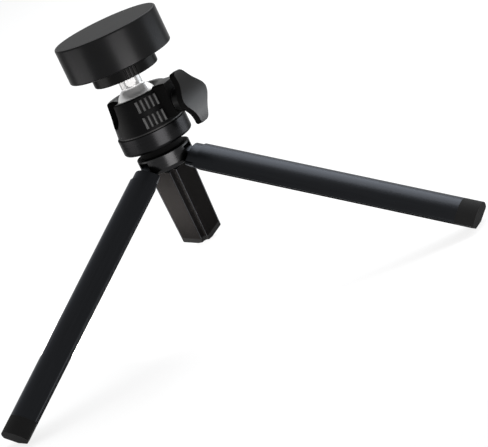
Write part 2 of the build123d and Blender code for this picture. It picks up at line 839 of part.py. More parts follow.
element_radius = barrel_radius - barrel_wall - thread_clearance
with BuildPart() as lens_elements:
    for element in range(element_count):
        rear = barrel_front - element_dome - element_edge - element * element_pitch
        with BuildSketch(Plane((0, 0, lens_height), x_dir=(0, 1, 0), z_dir=(1, 0, 0))):
            with BuildLine():
                Polyline((rear, 0), (rear, element_radius), (rear + element_edge, element_radius))
                dome_tip = rear + element_edge + element_dome
                TangentArc((dome_tip, 0), (rear + element_edge, element_radius), tangent=(0, 1))
                Line((dome_tip, 0), (rear, 0))
            make_face()
        revolve(axis=Axis((0, 0, lens_height), (0, 1, 0)))
lens_elements.part.label = "lens_elements"
export_step(lens_elements.part, "parts/lens_elements.step")

with BuildPart() as lens_holder:
    with BuildSketch(lens_plane.offset(board_front)):
        Rectangle(holder_width, holder_width)
    extrude(amount=holder_length)
    with BuildSketch(lens_plane.offset(board_front)):
        Circle(barrel_radius + thread_clearance)
    extrude(amount=holder_length, mode=Mode.SUBTRACT)
    with BuildSketch(lens_plane.offset(board_front)):
        Rectangle(sensor_width + 2 * sensor_room, sensor_height + 2 * sensor_room)
    extrude(amount=sensor_thickness + sensor_room, mode=Mode.SUBTRACT)
lens_holder.part.label = "lens_holder"
export_step(lens_holder.part, "parts/lens_holder.step")

with BuildPart() as image_sensor:
    with BuildSketch(lens_plane.offset(board_front)):
        Rectangle(sensor_width, sensor_height)
    extrude(amount=sensor_thickness)
image_sensor.part.label = "image_sensor"
export_step(image_sensor.part, "parts/image_sensor.step")

with BuildPart() as sensor_board:
    with BuildSketch(lens_plane.offset(board_back)):
        with Locations((0, cover_top - lens_height)):
            Rectangle(
                sensor_board_width,
                roof - cover_top - sensor_board_clearance,
                align=(Align.CENTER, Align.MIN),
            )
    extrude(amount=sensor_board_thickness)
sensor_board.part.label = "sensor_board"
export_step(sensor_board.part, "parts/sensor_board.step")

with BuildPart() as status_lamp:
    with BuildSketch(lens_plane.offset(board_front)):
        with Locations((side_port_offset, 0)):
            Rectangle(lamp_size, lamp_size)
    extrude(amount=lamp_thickness)
status_lamp.part.label = "status_lamp"
export_step(status_lamp.part, "parts/status_lamp.step")

with BuildPart() as light_pipe:
    with BuildSketch(lens_plane.offset(board_front + lamp_thickness)):
        with Locations((side_port_offset, 0)):
            Circle(pipe_radius)
    extrude(amount=webcam_radius)
    with BuildSketch(Plane.XY.offset(webcam_bottom)):
        Circle(webcam_radius)
    extrude(amount=webcam_height, mode=Mode.INTERSECT)
light_pipe.part.label = "light_pipe"
export_step(light_pipe.part, "parts/light_pipe.step")

with BuildPart() as microphone:
    with BuildSketch(lens_plane.offset(board_front)):
        with Locations((-side_port_offset, 0)):
            Rectangle(microphone_width, microphone_width)
    extrude(amount=microphone_thickness)
microphone.part.label = "microphone"
export_step(microphone.part, "parts/microphone.step")

with BuildPart() as microphone_boot:
    with BuildSketch(lens_plane.offset(board_front + microphone_thickness)):
        with Locations((-side_port_offset, 0)):
            Circle(boot_radius)
            Circle(boot_bore, mode=Mode.SUBTRACT)
    extrude(amount=webcam_radius)
    with BuildSketch(Plane.XY.offset(webcam_bottom)):
        Circle(webcam_bore - thread_clearance)
    extrude(amount=webcam_height, mode=Mode.INTERSECT)
microphone_boot.part.label = "microphone_boot"
export_step(microphone_boot.part, "parts/microphone_boot.step")

# main board between the shell's posts and the cover's standoffs, with the socket under it
with BuildPart() as main_board:
    with BuildSketch(Plane.XY.offset(main_board_bottom)):
        Circle(webcam_bore - main_board_margin)
        with Locations((0, board_back - main_board_setback)):
            Rectangle(
                2 * webcam_bore, webcam_bore, align=(Align.CENTER, Align.MIN), mode=Mode.SUBTRACT
            )
        with Locations(*post_places_flat):
            Circle(post_radius + cover_clearance, mode=Mode.SUBTRACT)
    extrude(amount=main_board_thickness)
main_board.part.label = "main_board"
export_step(main_board.part, "parts/main_board.step")

with BuildPart() as image_processor:
    with BuildSketch(Plane.XY.offset(main_board_top)):
        with Locations((0, -processor_back)):
            Rectangle(processor_size, processor_size)
    extrude(amount=processor_thickness)
image_processor.part.label = "image_processor"
export_step(image_processor.part, "parts/image_processor.step")

with BuildPart() as ribbon_cable:
    ribbon_start = board_back - ribbon_foot
    ribbon_top = main_board_top + ribbon_rise
    with BuildSketch(Plane.YZ):
        with BuildLine():
            Polyline(
                (ribbon_start, main_board_top),
                (ribbon_start, ribbon_top),
                (board_back, ribbon_top),
                (board_back, ribbon_top - ribbon_thickness),
                (ribbon_start + ribbon_thickness, ribbon_top - ribbon_thickness),
                (ribbon_start + ribbon_thickness, main_board_top),
                close=True,
            )
        make_face()
    extrude(amount=ribbon_width / 2, both=True)
ribbon_cable.part.label = "ribbon_cable"
export_step(ribbon_cable.part, "parts/ribbon_cable.step")

usb_centre = (0, usb_inset - webcam_radius)
usb_mouth = webcam_bottom + usb_recess
usb_tongue_base = usb_mouth + usb_tongue_setback + usb_tongue_length

with BuildPart() as usb_socket_shell:
    with BuildSketch(Plane.XY.offset(usb_mouth)):
        with Locations(usb_centre):
            SlotOverall(usb_width, usb_height)
            SlotOverall(usb_width - 2 * usb_wall, usb_height - 2 * usb_wall, mode=Mode.SUBTRACT)
    extrude(amount=main_board_bottom - usb_mouth)
usb_socket_shell.part.label = "usb_socket_shell"
export_step(usb_socket_shell.part, "parts/usb_socket_shell.step")

with BuildPart() as usb_socket_tongue:
    with BuildSketch(Plane.XY.offset(usb_tongue_base)):
        with Locations(usb_centre):
            SlotOverall(
                usb_width - 2 * usb_wall - 2 * thread_clearance,
                usb_height - 2 * usb_wall - 2 * thread_clearance,
            )
    extrude(amount=main_board_bottom - usb_tongue_base)
    with BuildSketch(Plane.XY.offset(usb_tongue_base)):
        with Locations(usb_centre):
            Rectangle(usb_tongue_width, usb_tongue_thickness)
    extrude(amount=-usb_tongue_length)
usb_socket_tongue.part.label = "usb_socket_tongue"
export_step(usb_socket_tongue.part, "parts/usb_socket_tongue.step")
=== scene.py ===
import json
import math

import bmesh
import bpy
from mathutils import Matrix, Vector


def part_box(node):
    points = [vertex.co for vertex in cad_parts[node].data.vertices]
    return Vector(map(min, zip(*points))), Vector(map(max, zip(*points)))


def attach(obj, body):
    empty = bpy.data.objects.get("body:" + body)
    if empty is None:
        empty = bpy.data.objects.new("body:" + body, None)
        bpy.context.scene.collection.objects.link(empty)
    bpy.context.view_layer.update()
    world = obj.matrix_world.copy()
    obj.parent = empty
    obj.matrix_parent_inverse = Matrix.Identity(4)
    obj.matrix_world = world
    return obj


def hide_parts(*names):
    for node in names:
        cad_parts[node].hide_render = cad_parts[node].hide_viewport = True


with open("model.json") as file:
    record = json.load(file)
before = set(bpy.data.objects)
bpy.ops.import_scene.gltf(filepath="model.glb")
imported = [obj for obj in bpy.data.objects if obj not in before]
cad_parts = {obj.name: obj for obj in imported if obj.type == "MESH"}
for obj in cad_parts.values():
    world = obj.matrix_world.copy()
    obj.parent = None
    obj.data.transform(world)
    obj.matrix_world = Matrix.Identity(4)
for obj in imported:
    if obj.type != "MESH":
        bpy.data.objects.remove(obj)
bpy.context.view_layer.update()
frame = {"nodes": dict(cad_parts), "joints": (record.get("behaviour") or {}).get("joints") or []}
mm = 0.001  # shapes are drawn in millimetres and finished in metres
up = Vector((0, 0, 1))
print("frame loaded:", len(frame["nodes"]), "nodes")


def boxOf(node):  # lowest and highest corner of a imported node, in millimetres
    low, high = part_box(node)
    return low / mm, high / mm


def jointNamed(name):
    return next(joint for joint in frame["joints"] if joint["name"] == name)


# drawing helpers; an edge in the sizes below is a radius or width, then its steps

meshSizes = {"merge": 0.0005, "cutMerge": 0.0001, "near": 0.001, "level": 0.01, "smoothAngle": 32,
             "flatWeight": 100}


def joinUp(bm, verts, closed):
    pairs = list(zip(verts, verts[1:]))
    if closed:
        pairs.append((verts[-1], verts[0]))
    for pair in pairs:
        bm.edges.new(pair)
    return verts


def drawOutline(bm, points, height):  # a closed outline, level at this height
    return joinUp(bm, [bm.verts.new((x, y, height)) for x, y in points], True)


def ringProfile(bore, radius, bottom, top):
    return [(bore, bottom), (radius, bottom), (radius, top), (bore, top)]


def arcPoints(centre, radius, startAngle, endAngle, steps):
    turn = (endAngle - startAngle) / steps
    angles = [math.radians(startAngle + turn * step) for step in range(steps + 1)]
    return [(centre[0] + radius * math.cos(a), centre[1] + radius * math.sin(a)) for a in angles]


def roundCorners(bm, verts, radius, segments):
    bmesh.ops.bevel(bm, geom=verts, offset=radius, offset_type="OFFSET", segments=segments,
                    profile=0.5, affect="VERTICES", material=-1, clamp_overlap=True)


def softenEdges(bm, edges, width, segments):
    bmesh.ops.bevel(bm, geom=edges, offset=width, offset_type="OFFSET", segments=segments,
                    profile=0.5, affect="EDGES", material=-1, clamp_overlap=True)


def tidyMesh(bm):
    bmesh.ops.remove_doubles(bm, verts=bm.verts[:], dist=meshSizes["merge"])
    bmesh.ops.recalc_face_normals(bm, faces=bm.faces[:])


def turnedShape(profile, steps, edges=()):  # (radius, height) points, turned about Z
    bm = bmesh.new()
    closed = profile[0][0] > 0  # a profile that starts on the axis also ends there
    corners = joinUp(bm, [bm.verts.new((x, 0, z)) for x, z in profile], closed)
    for first, end, edge in edges:  # rounds the profile's corners from first up to end
        roundCorners(bm, corners[first:end], *edge)
    bmesh.ops.spin(bm, geom=bm.verts[:] + bm.edges[:], cent=(0, 0, 0), axis=(0, 0, 1),
                   dvec=(0, 0, 0), angle=2 * math.pi, steps=steps, use_merge=True)
    tidyMesh(bm)
    return bm


def raiseFace(bm, face, height):  # pulls a flat face up into a prism
    grown = bmesh.ops.extrude_face_region(bm, geom=[face])
    moved = [part for part in grown["geom"] if isinstance(part, bmesh.types.BMVert)]
    bmesh.ops.translate(bm, verts=moved, vec=(0, 0, height))
    bmesh.ops.recalc_face_normals(bm, faces=bm.faces[:])
    return moved


def archPrism(bm, radius, stretch, height, segments):  # a round end, drawn out along Y and raised along Z
    made = bmesh.ops.create_circle(bm, cap_ends=True, segments=segments, radius=radius)
    for vert in made["verts"]:
        vert.co.y += stretch if vert.co.y > meshSizes["near"] else 0
    return made["verts"] + raiseFace(bm, made["verts"][0].link_faces[0], height)


def blockAt(bm, size, matrix):
    made = bmesh.ops.create_cube(bm, size=1)
    bmesh.ops.scale(bm, vec=size, verts=made["verts"])
    bmesh.ops.transform(bm, matrix=matrix, verts=made["verts"])
    return made["verts"]


def cylinderAt(bm, radius, depth, matrix, segments):
    bmesh.ops.create_cone(bm, cap_ends=True, cap_tris=False, segments=segments, radius1=radius,
                          radius2=radius, depth=depth, matrix=matrix)


def splitAt(bm, point, normal, clear=False):  # cuts along a plane; clear drops what lies behind it
    return bmesh.ops.bisect_plane(bm, geom=bm.verts[:] + bm.edges[:] + bm.faces[:], clear_inner=clear,
                                  dist=meshSizes["cutMerge"], plane_co=point, plane_no=normal)


def isLevel(edge):
    return abs(edge.verts[0].co.z - edge.verts[1].co.z) < meshSizes["level"]


def axesTo(x, y, z):  # a turn that lays the local axes along these directions
    return Matrix((x, y, z)).transposed().to_4x4()


def placeAll(bm, matrix):
    bmesh.ops.transform(bm, matrix=matrix, verts=bm.verts[:])


def newMesh(bm, name):
    mesh = bpy.data.meshes.new(name)
    bm.to_mesh(mesh)
    bm.free()
    return mesh


def newObject(name, data):
    made = bpy.data.objects.new(name, data)
    bpy.context.scene.collection.objects.link(made)
    return made


def combine(bm, other, operation):
    tool = newObject("tool", newMesh(other, "tool"))
    shape = newObject("shape", newMesh(bm, "shape"))
    change = shape.modifiers.new("combine", "BOOLEAN")
    change.operation = operation
    change.solver = "EXACT"
    change.object = tool
    bpy.context.view_layer.update()
    changedShape = shape.evaluated_get(bpy.context.evaluated_depsgraph_get())
    result = bpy.data.meshes.new_from_object(changedShape)
    bpy.data.objects.remove(shape)
    bpy.data.objects.remove(tool)
    changed = bmesh.new()
    changed.from_mesh(result)
    bpy.data.meshes.remove(result)
    tidyMesh(changed)
    return changed


def cutOut(bm, cutter):
    return combine(bm, cutter, "DIFFERENCE")


def joinOn(bm, added):
    return combine(bm, added, "UNION")


def paintFaces(bm, indexOf):  # gives each face one of its piece's finishes, by number
    bm.normal_update()
    for face in bm.faces:
        face.material_index = int(indexOf(face))


def makePiece(name, bm, body, finishNames, replaced, smoothAngle=meshSizes["smoothAngle"],
              place=None):
    tidyMesh(bm)
    along = bm.verts.layers.float_vector.new("along")  # where a point lies before the piece is turned
    for vert in bm.verts:
        vert[along] = vert.co
    if place is not None:
        placeAll(bm, place)
    bmesh.ops.scale(bm, vec=(mm, mm, mm), verts=bm.verts[:])
    mesh = newMesh(bm, name)
    mesh.polygons.foreach_set("use_smooth", [True] * len(mesh.polygons))
    mesh.set_sharp_from_angle(angle=math.radians(smoothAngle))
    for finishName in finishNames:
        mesh.materials.append(finishes[finishName])
    piece = newObject(name, mesh)
    shading = piece.modifiers.new("flatFaces", "WEIGHTED_NORMAL")  # large faces stay flat by round edges
    shading.weight = meshSizes["flatWeight"]
    shading.keep_sharp = True
    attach(piece, body)
    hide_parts(*replaced)


# node helpers

noiseSizes = {"grainDetail": 3.0, "patchDetail": 4.0, "patchRoughness": 0.6, "grainShare": 0.45,
              "patchShare": 0.55, "middle": 0.5, "turnShare": 0.25, "bumpDepth": 0.02}


def addNode(tree, kind, **settings):
    node = tree.nodes.new(kind)
    for key, value in settings.items():
        setattr(node, key, value)
    return node


def newGroup(name, inputs, outputs):
    tree = bpy.data.node_groups.new(name, "ShaderNodeTree")
    for label, kind in inputs:
        tree.interface.new_socket(name=label, in_out="INPUT", socket_type="NodeSocket" + kind)
    for label, kind in outputs:
        tree.interface.new_socket(name=label, in_out="OUTPUT", socket_type="NodeSocket" + kind)
    return tree, tree.nodes.new("NodeGroupInput"), tree.nodes.new("NodeGroupOutput")


def mathNode(tree, operation, first, second):
    node = addNode(tree, "ShaderNodeMath", operation=operation)
    for socket, value in zip(node.inputs, (first, second)):
        if isinstance(value, (int, float)):
            socket.default_value = value
        else:
            tree.links.new(value, socket)
    return node.outputs[0]


def rangeNode(tree, value, low, high):  # spreads a 0 to 1 value over low to high
    node = addNode(tree, "ShaderNodeMapRange")
    tree.links.new(value, node.inputs["Value"])
    node.inputs["To Min"].default_value = low
    node.inputs["To Max"].default_value = high
    return node.outputs["Result"]


def surfaceVariation():  # fine grain, with slow patches of shade and gloss over it
    tree, given, result = newGroup(
        "surfaceVariation",
        [("Vector", "Vector"), ("Color", "Color"), ("Roughness", "Float"), ("Grain", "Float"),
         ("Patch", "Float"), ("Shade", "Float"), ("Gloss", "Float")],
        [("Color", "Color"), ("Roughness", "Float"), ("Height", "Float")])
    grain = addNode(tree, "ShaderNodeTexNoise")
    grain.inputs["Detail"].default_value = noiseSizes["grainDetail"]
    patch = addNode(tree, "ShaderNodeTexNoise")
    patch.inputs["Detail"].default_value = noiseSizes["patchDetail"]
    patch.inputs["Roughness"].default_value = noiseSizes["patchRoughness"]
    for texture, label in ((grain, "Grain"), (patch, "Patch")):
        tree.links.new(given.outputs["Vector"], texture.inputs["Vector"])
        tree.links.new(given.outputs[label], texture.inputs["Scale"])
    grainPart = mathNode(tree, "MULTIPLY", grain.outputs["Fac"], noiseSizes["grainShare"])
    patchPart = mathNode(tree, "MULTIPLY", patch.outputs["Fac"], noiseSizes["patchShare"])
    centred = mathNode(tree, "SUBTRACT", mathNode(tree, "ADD", grainPart, patchPart), noiseSizes["middle"])
    shade = mathNode(tree, "ADD", mathNode(tree, "MULTIPLY", centred, given.outputs["Shade"]), 1.0)
    tinted = addNode(tree, "ShaderNodeVectorMath", operation="SCALE")
    tree.links.new(given.outputs["Color"], tinted.inputs[0])
    tree.links.new(shade, tinted.inputs["Scale"])
    tree.links.new(tinted.outputs[0], result.inputs["Color"])
    gloss = mathNode(tree, "MULTIPLY", centred, given.outputs["Gloss"])
    tree.links.new(mathNode(tree, "ADD", given.outputs["Roughness"], gloss), result.inputs["Roughness"])
    tree.links.new(grain.outputs["Fac"], result.inputs["Height"])
    return tree


def turnedPlace():  # radius, height and angle about Z, so that marks run round like lathe marks
    tree, given, result = newGroup("turnedPlace", [("Vector", "Vector")], [("Vector", "Vector")])
    parts = addNode(tree, "ShaderNodeSeparateXYZ")
    tree.links.new(given.outputs["Vector"], parts.inputs[0])
    x, y, z = parts.outputs
    squares = mathNode(tree, "ADD", mathNode(tree, "MULTIPLY", x, x), mathNode(tree, "MULTIPLY", y, y))
    reach = mathNode(tree, "SQRT", squares, 0.0)
    angle = mathNode(tree, "MULTIPLY", mathNode(tree, "ARCTAN2", y, x), noiseSizes["turnShare"])
    joined = addNode(tree, "ShaderNodeCombineXYZ")
    for value, socket in zip((reach, z, angle), joined.inputs):
        tree.links.new(value, socket)
    tree.links.new(joined.outputs[0], result.inputs["Vector"])
    return tree


groups = {"variation": surfaceVariation(), "turned": turnedPlace()}


def finish(name, look):  # one finish from its look: colour, grain, patches, gloss and bump
    material = bpy.data.materials.new(name)
    material.use_nodes = True
    tree = material.node_tree
    shader = tree.nodes["Principled BSDF"]
    for label, value in look["shader"].items():
        shader.inputs[label].default_value = value
    if look["place"] == "along":
        place = addNode(tree, "ShaderNodeAttribute", attribute_name="along").outputs["Vector"]
    else:
        coordinates = addNode(tree, "ShaderNodeTexCoord")
        inMm = addNode(tree, "ShaderNodeVectorMath", operation="SCALE")
        inMm.inputs["Scale"].default_value = 1 / mm
        tree.links.new(coordinates.outputs["Object"], inMm.inputs[0])
        place = inMm.outputs[0]
    if look["place"] == "turned":
        turned = addNode(tree, "ShaderNodeGroup", node_tree=groups["turned"])
        tree.links.new(place, turned.inputs[0])
        place = turned.outputs[0]
    mapping = addNode(tree, "ShaderNodeMapping")
    mapping.inputs["Scale"].default_value = look["stretch"]
    tree.links.new(place, mapping.inputs["Vector"])
    variation = addNode(tree, "ShaderNodeGroup", node_tree=groups["variation"])
    tree.links.new(mapping.outputs[0], variation.inputs["Vector"])
    variation.inputs["Color"].default_value = (*look["color"], 1)
    for label in ("Roughness", "Grain", "Patch", "Shade", "Gloss"):
        variation.inputs[label].default_value = look[label.lower()]
    tree.links.new(variation.outputs["Color"], shader.inputs["Base Color"])
    tree.links.new(variation.outputs["Roughness"], shader.inputs["Roughness"])
    if look["bump"]:
        bump = addNode(tree, "ShaderNodeBump")
        bump.inputs["Strength"].default_value = look["bump"]
        bump.inputs["Distance"].default_value = noiseSizes["bumpDepth"] * mm
        tree.links.new(variation.outputs["Height"], bump.inputs["Height"])
        tree.links.new(bump.outputs["Normal"], shader.inputs["Normal"])
    return material


def darkMetal(metallic, *tint):  # stays dim at grazing angles
    return {"Metallic": metallic, "Specular IOR Level": 0.05, "Specular Tint": (*tint, 1)}


# finishes, one look each, over a plain one; grain and patch are repeats per millimetre

plainLook = {"grain": 6.0, "patch": 0.3, "shade": 0.4, "gloss": 0.10, "bump": 0, "place": "object",
             "stretch": (1, 1, 1), "shader": {}}
looks = {
    "shellSatin": {"color": (0.0125, 0.0125, 0.0128), "roughness": 0.30, "grain": 7.0, "patch": 0.06,
                   "shade": 0.5, "gloss": 0.08, "bump": 0.06,
                   "shader": darkMetal(0.9, 0.52, 0.52, 0.52)},
    "shellTop": {"color": (0.014, 0.014, 0.014), "roughness": 0.60, "patch": 0.05, "shade": 0.35,
                 "gloss": 0.08, "bump": 0.16, "shader": {"Specular IOR Level": 0.06}},
    "casingPlastic": {"color": (0.003, 0.003, 0.0032), "roughness": 0.40, "grain": 5.0, "patch": 0.10,
                      "shade": 0.5, "gloss": 0.12, "bump": 0.22,
                      "shader": {"Specular IOR Level": 0.04}},
    # lighter grey than the casing: a painted highlight on the grip bars
    "ribPaintedHighlight": {"color": (0.050, 0.050, 0.050), "roughness": 0.38, "bump": 0.12,
                   "shader": {"Specular IOR Level": 0.25}},
    "knobPlastic": {"color": (0.003, 0.003, 0.003), "roughness": 0.36, "grain": 5.0, "patch": 0.12,
                    "bump": 0.08, "shader": {"Specular IOR Level": 0.10}},
    "discPlastic": {"color": (0.0085, 0.0085, 0.0085), "roughness": 0.30, "patch": 0.1, "bump": 0.10,
                    "shader": darkMetal(0.9, 0.48, 0.48, 0.48)},
    "turnedBlack": {"color": (0.0115, 0.0115, 0.012), "roughness": 0.28, "grain": 9.0, "patch": 0.8,
                    "shade": 0.8, "gloss": 0.14, "bump": 0.08, "place": "turned",
                    "stretch": (1.6, 1.6, 0.25), "shader": darkMetal(0.95, 0.5, 0.5, 0.5)},
    # a lighter copy of turnedBlack: painted highlight, so the hub shines brighter than the ring
    "turnedHubPaintedHighlight": {"color": (0.021, 0.021, 0.0215), "roughness": 0.26, "grain": 9.0, "patch": 0.8,
                  "shade": 0.8, "gloss": 0.14, "bump": 0.08, "place": "turned",
                  "stretch": (1.6, 1.6, 0.25), "shader": darkMetal(0.95, 0.45, 0.45, 0.45)},
    "brushedLeg": {"color": (0.012, 0.0127, 0.0142), "roughness": 0.34, "grain": 5.0, "patch": 0.6,
                   "shade": 0.8, "gloss": 0.12, "bump": 0.06, "place": "along",
                   "stretch": (1.0, 1.0, 0.03), "shader": darkMetal(0.9, 0.60, 0.61, 0.63)},
    "innerFlat": {"color": (0.0080, 0.0076, 0.0074), "roughness": 0.62, "grain": 5.0, "patch": 0.4,
                  "shade": 0.5, "gloss": 0.12, "bump": 0.10, "place": "along",
                  "stretch": (1.0, 1.0, 0.03), "shader": {"Specular IOR Level": 0.0}},
    # also painted shade on the hub's neck and on the ring's seat under the casing
    "dullBlackAndPaintedShade": {"color": (0.003, 0.003, 0.003), "roughness": 0.7, "shade": 0.5, "bump": 0.1,
                  "shader": {"Specular IOR Level": 0.03}},
    "footRubber": {"color": (0.010, 0.010, 0.010), "roughness": 0.72, "grain": 4.0, "patch": 0.2,
                   "bump": 0.3, "shader": {"Specular IOR Level": 0.03}},
    "chromePlate": {"color": (0.38, 0.38, 0.38), "roughness": 0.18, "shade": 0.05, "gloss": 0.06,
                    "bump": 0.02, "place": "turned", "stretch": (1.0, 1.0, 0.4),
                    "shader": {"Metallic": 0.08}},
    "satinBall": {"color": (0.82, 0.82, 0.82), "roughness": 0.36, "shade": 0.05, "gloss": 0.06,
                  "bump": 0.02, "shader": {"Metallic": 0.4}},
    "plainSteel": {"color": (0.42, 0.42, 0.43), "roughness": 0.30, "grain": 9.0, "patch": 0.6,
                   "shade": 0.3, "gloss": 0.15, "bump": 0.06, "shader": {"Metallic": 1.0}},
    "turnedBrass": {"color": (0.60, 0.42, 0.16), "roughness": 0.28, "grain": 9.0, "patch": 0.5,
                    "shade": 0.3, "gloss": 0.15, "bump": 0.08, "place": "turned",
                    "stretch": (1.6, 1.6, 0.25), "shader": {"Metallic": 1.0}},
    "nylon": {"color": (0.012, 0.012, 0.012), "roughness": 0.50, "grain": 5.0, "bump": 0.12,
              "shader": {"Specular IOR Level": 0.3}},
    "glossBlack": {"color": (0.005, 0.005, 0.006), "roughness": 0.14, "patch": 0.2, "gloss": 0.06,
                   "bump": 0.02, "shader": {"Specular IOR Level": 0.5}},
    "chipEpoxy": {"color": (0.016, 0.016, 0.018), "roughness": 0.42, "grain": 8.0, "patch": 0.5,
                  "bump": 0.1},
    "boardGreen": {"color": (0.010, 0.085, 0.035), "roughness": 0.30, "grain": 1.4, "patch": 0.5,
                   "shade": 1.2, "gloss": 0.12, "bump": 0.12, "stretch": (1.0, 0.25, 1.0)},
    "lampCase": {"color": (0.70, 0.70, 0.55), "roughness": 0.35, "grain": 5.0, "patch": 1.0,
                 "shade": 0.2, "bump": 0.05},
    "amberFilm": {"color": (0.36, 0.15, 0.025), "roughness": 0.25, "grain": 1.2, "patch": 0.6,
                  "shade": 0.5, "bump": 0.08, "stretch": (2.0, 0.1, 0.1)},
    "clearGlass": {"color": (0.30, 0.31, 0.33), "roughness": 0.02, "grain": 3.0, "patch": 0.1,
                   "shade": 0.02, "gloss": 0.02, "shader": {"Transmission Weight": 1.0, "IOR": 1.36}},
    "coatedGlass": {"color": (0.42, 0.36, 0.66), "roughness": 0.03, "grain": 3.0, "patch": 0.12,
                    "shade": 0.2, "gloss": 0.02, "shader": {"Transmission Weight": 1.0, "IOR": 1.6}},
    "clearPlastic": {"color": (0.88, 0.92, 0.92), "roughness": 0.18, "grain": 4.0, "shade": 0.1,
                     "shader": {"Transmission Weight": 0.8, "IOR": 1.49}},
}
finishes = {name: finish(name, {**plainLook, **look}) for name, look in looks.items()}
print("finishes made:", len(finishes))


# webcam housing

shellSizes = {"edge": (0.7, 5), "wall": 1.5, "roof": 1.6, "spotMargin": 1.0, "spotDepth": 0.8,
              "bezelLap": 0.6, "holeDepth": 8.0, "past": 1.0, "portOffset": 11.0, "portInset": 3.0,
              "portLength": 12.0, "pipeHole": 1.06, "soundHole": 0.6, "steps": 256, "holeSteps": 96,
              "portSteps": 32}
shellLow, shellHigh = boxOf("webcam_shell")
lensHeight = (shellLow.z + shellHigh.z) / 2
facingBack = Matrix.Translation((0, 0, lensHeight)) @ Matrix.Rotation(-math.pi / 2, 4, "X")  # local Z to +Y


def webcamShell():
    radius = shellHigh.x
    bore = radius - shellSizes["wall"]
    ceiling = shellHigh.z - shellSizes["roof"]
    profile = [(0, shellHigh.z), (radius, shellHigh.z), (radius, shellLow.z), (bore, shellLow.z),
               (bore, ceiling), (0, ceiling)]
    bm = turnedShape(profile, shellSizes["steps"], [(1, 3, shellSizes["edge"])])
    hole = boxOf("lens_bezel")[1].x - shellSizes["bezelLap"]
    spot = hole + shellSizes["spotMargin"]
    spotFloor = radius - shellSizes["spotDepth"]
    holeEnd = spotFloor - shellSizes["holeDepth"]
    outside = radius + shellSizes["past"]
    cutter = turnedShape([(0, holeEnd), (hole, holeEnd), (hole, spotFloor), (spot, spotFloor),
                          (spot, outside), (0, outside)], shellSizes["holeSteps"])
    for side, port in ((-1, "pipeHole"), (1, "soundHole")):
        beside = Matrix.Translation((side * shellSizes["portOffset"], 0, radius - shellSizes["portInset"]))
        cylinderAt(cutter, shellSizes[port], shellSizes["portLength"], beside, shellSizes["portSteps"])
    placeAll(cutter, facingBack)
    bm = cutOut(bm, cutter)
    paintFaces(bm, lambda face: face.calc_center_median().z > shellHigh.z - meshSizes["level"])
    makePiece("webcamShell", bm, "webcam", ["shellSatin", "shellTop"], ["webcam_shell"])


coverSizes = {"plate": 2.0, "insertRadius": 4.6, "screwRing": 17.2, "screwAngles": (10, 170, 232, 308),
              "screwHole": 1.15, "headRadius": 2.02, "below": 1.0, "above": 4.0, "socket": (9.4, 3.6),
              "socketInset": 5.8, "socketSink": 2.0, "socketDepth": 6.0, "edge": (0.25, 3), "steps": 192,
              "screwSteps": 40, "socketSteps": 48}


def socketHole():  # a long hole with round ends
    length, width = coverSizes["socket"]
    bm = bmesh.new()
    made = bmesh.ops.create_circle(bm, cap_ends=True, segments=coverSizes["socketSteps"], radius=width / 2)
    for vert in made["verts"]:
        vert.co.x += math.copysign((length - width) / 2, vert.co.x)
    raiseFace(bm, made["verts"][0].link_faces[0], coverSizes["socketDepth"])
    return bm


def webcamBaseCover():
    low, high = boxOf("webcam_base_cover")
    profile = ringProfile(coverSizes["insertRadius"], high.x, low.z, low.z + coverSizes["plate"])
    bm = turnedShape(profile, coverSizes["steps"], [(1, 2, coverSizes["edge"])])
    cutter = socketHole()
    inset = coverSizes["socketInset"] - shellHigh.x
    placeAll(cutter, Matrix.Translation((0, inset, low.z - coverSizes["socketSink"])))
    head, hole = coverSizes["headRadius"], coverSizes["screwHole"]
    below, above = -coverSizes["below"], coverSizes["above"]
    profile = [(0, below), (head, below), (head, 0), (hole, head - hole), (hole, above), (0, above)]
    for angle in coverSizes["screwAngles"]:
        seat = turnedShape(profile, coverSizes["screwSteps"])
        turn = Matrix.Rotation(math.radians(angle), 4, "Z")
        placeAll(seat, turn @ Matrix.Translation((coverSizes["screwRing"], 0, low.z)))
        spare = newMesh(seat, "seat")
        cutter.from_mesh(spare)
        bpy.data.meshes.remove(spare)
    bm = cutOut(bm, cutter)
    makePiece("webcamBaseCover", bm, "webcam", ["casingPlastic"], ["webcam_base_cover"])


lensSizes = {"windowRadius": 4.57, "windowThickness": 0.8, "windowPlay": 0.03, "windowEdge": (0.14, 2),
             "bezelRadius": 5.17, "bezelBore": 4.2, "bezelEdge": (0.14, 3), "barrelCone": (3.72, 0.7),
             "barrelRadius": 4.0, "barrelBore": 3.2, "barrelEdge": (0.07, 2), "steps": 128,
             "barrelSteps": 96}


def lensPieces():  # drawn upright, then laid to face the back
    low, high = boxOf("lens_bezel")
    radius, bore, window = lensSizes["bezelRadius"], lensSizes["bezelBore"], lensSizes["windowRadius"]
    seat = window + lensSizes["windowPlay"]
    windowBack = high.y - lensSizes["windowThickness"]
    profile = [(radius, low.y), (radius, high.y), (seat, high.y), (seat, windowBack), (bore, windowBack),
               (bore, low.y)]
    bm = turnedShape(profile, lensSizes["steps"], [(1, 3, lensSizes["bezelEdge"])])
    makePiece("lensBezel", bm, "webcam", ["glossBlack"], ["lens_bezel"], place=facingBack)
    profile = [(0, windowBack), (window, windowBack), (window, high.y), (0, high.y)]
    bm = turnedShape(profile, lensSizes["steps"], [(1, 3, lensSizes["windowEdge"])])
    makePiece("lensWindow", bm, "webcam", ["clearGlass"], ["lens_window"], place=facingBack)
    low, high = boxOf("lens_barrel")
    radius, bore = lensSizes["barrelRadius"], lensSizes["barrelBore"]
    coneRadius, coneDepth = lensSizes["barrelCone"]
    profile = [(radius, low.y), (radius, high.y), (coneRadius, high.y), (bore, high.y - coneDepth),
               (bore, low.y)]
    bm = turnedShape(profile, lensSizes["barrelSteps"], [(1, 3, lensSizes["barrelEdge"])])
    makePiece("lensBarrel", bm, "webcam", ["glossBlack"], ["lens_barrel"],
              place=facingBack)


webcamShell()
webcamBaseCover()
lensPieces()
print("webcam housing made")


# lock disc, pad and chrome ball

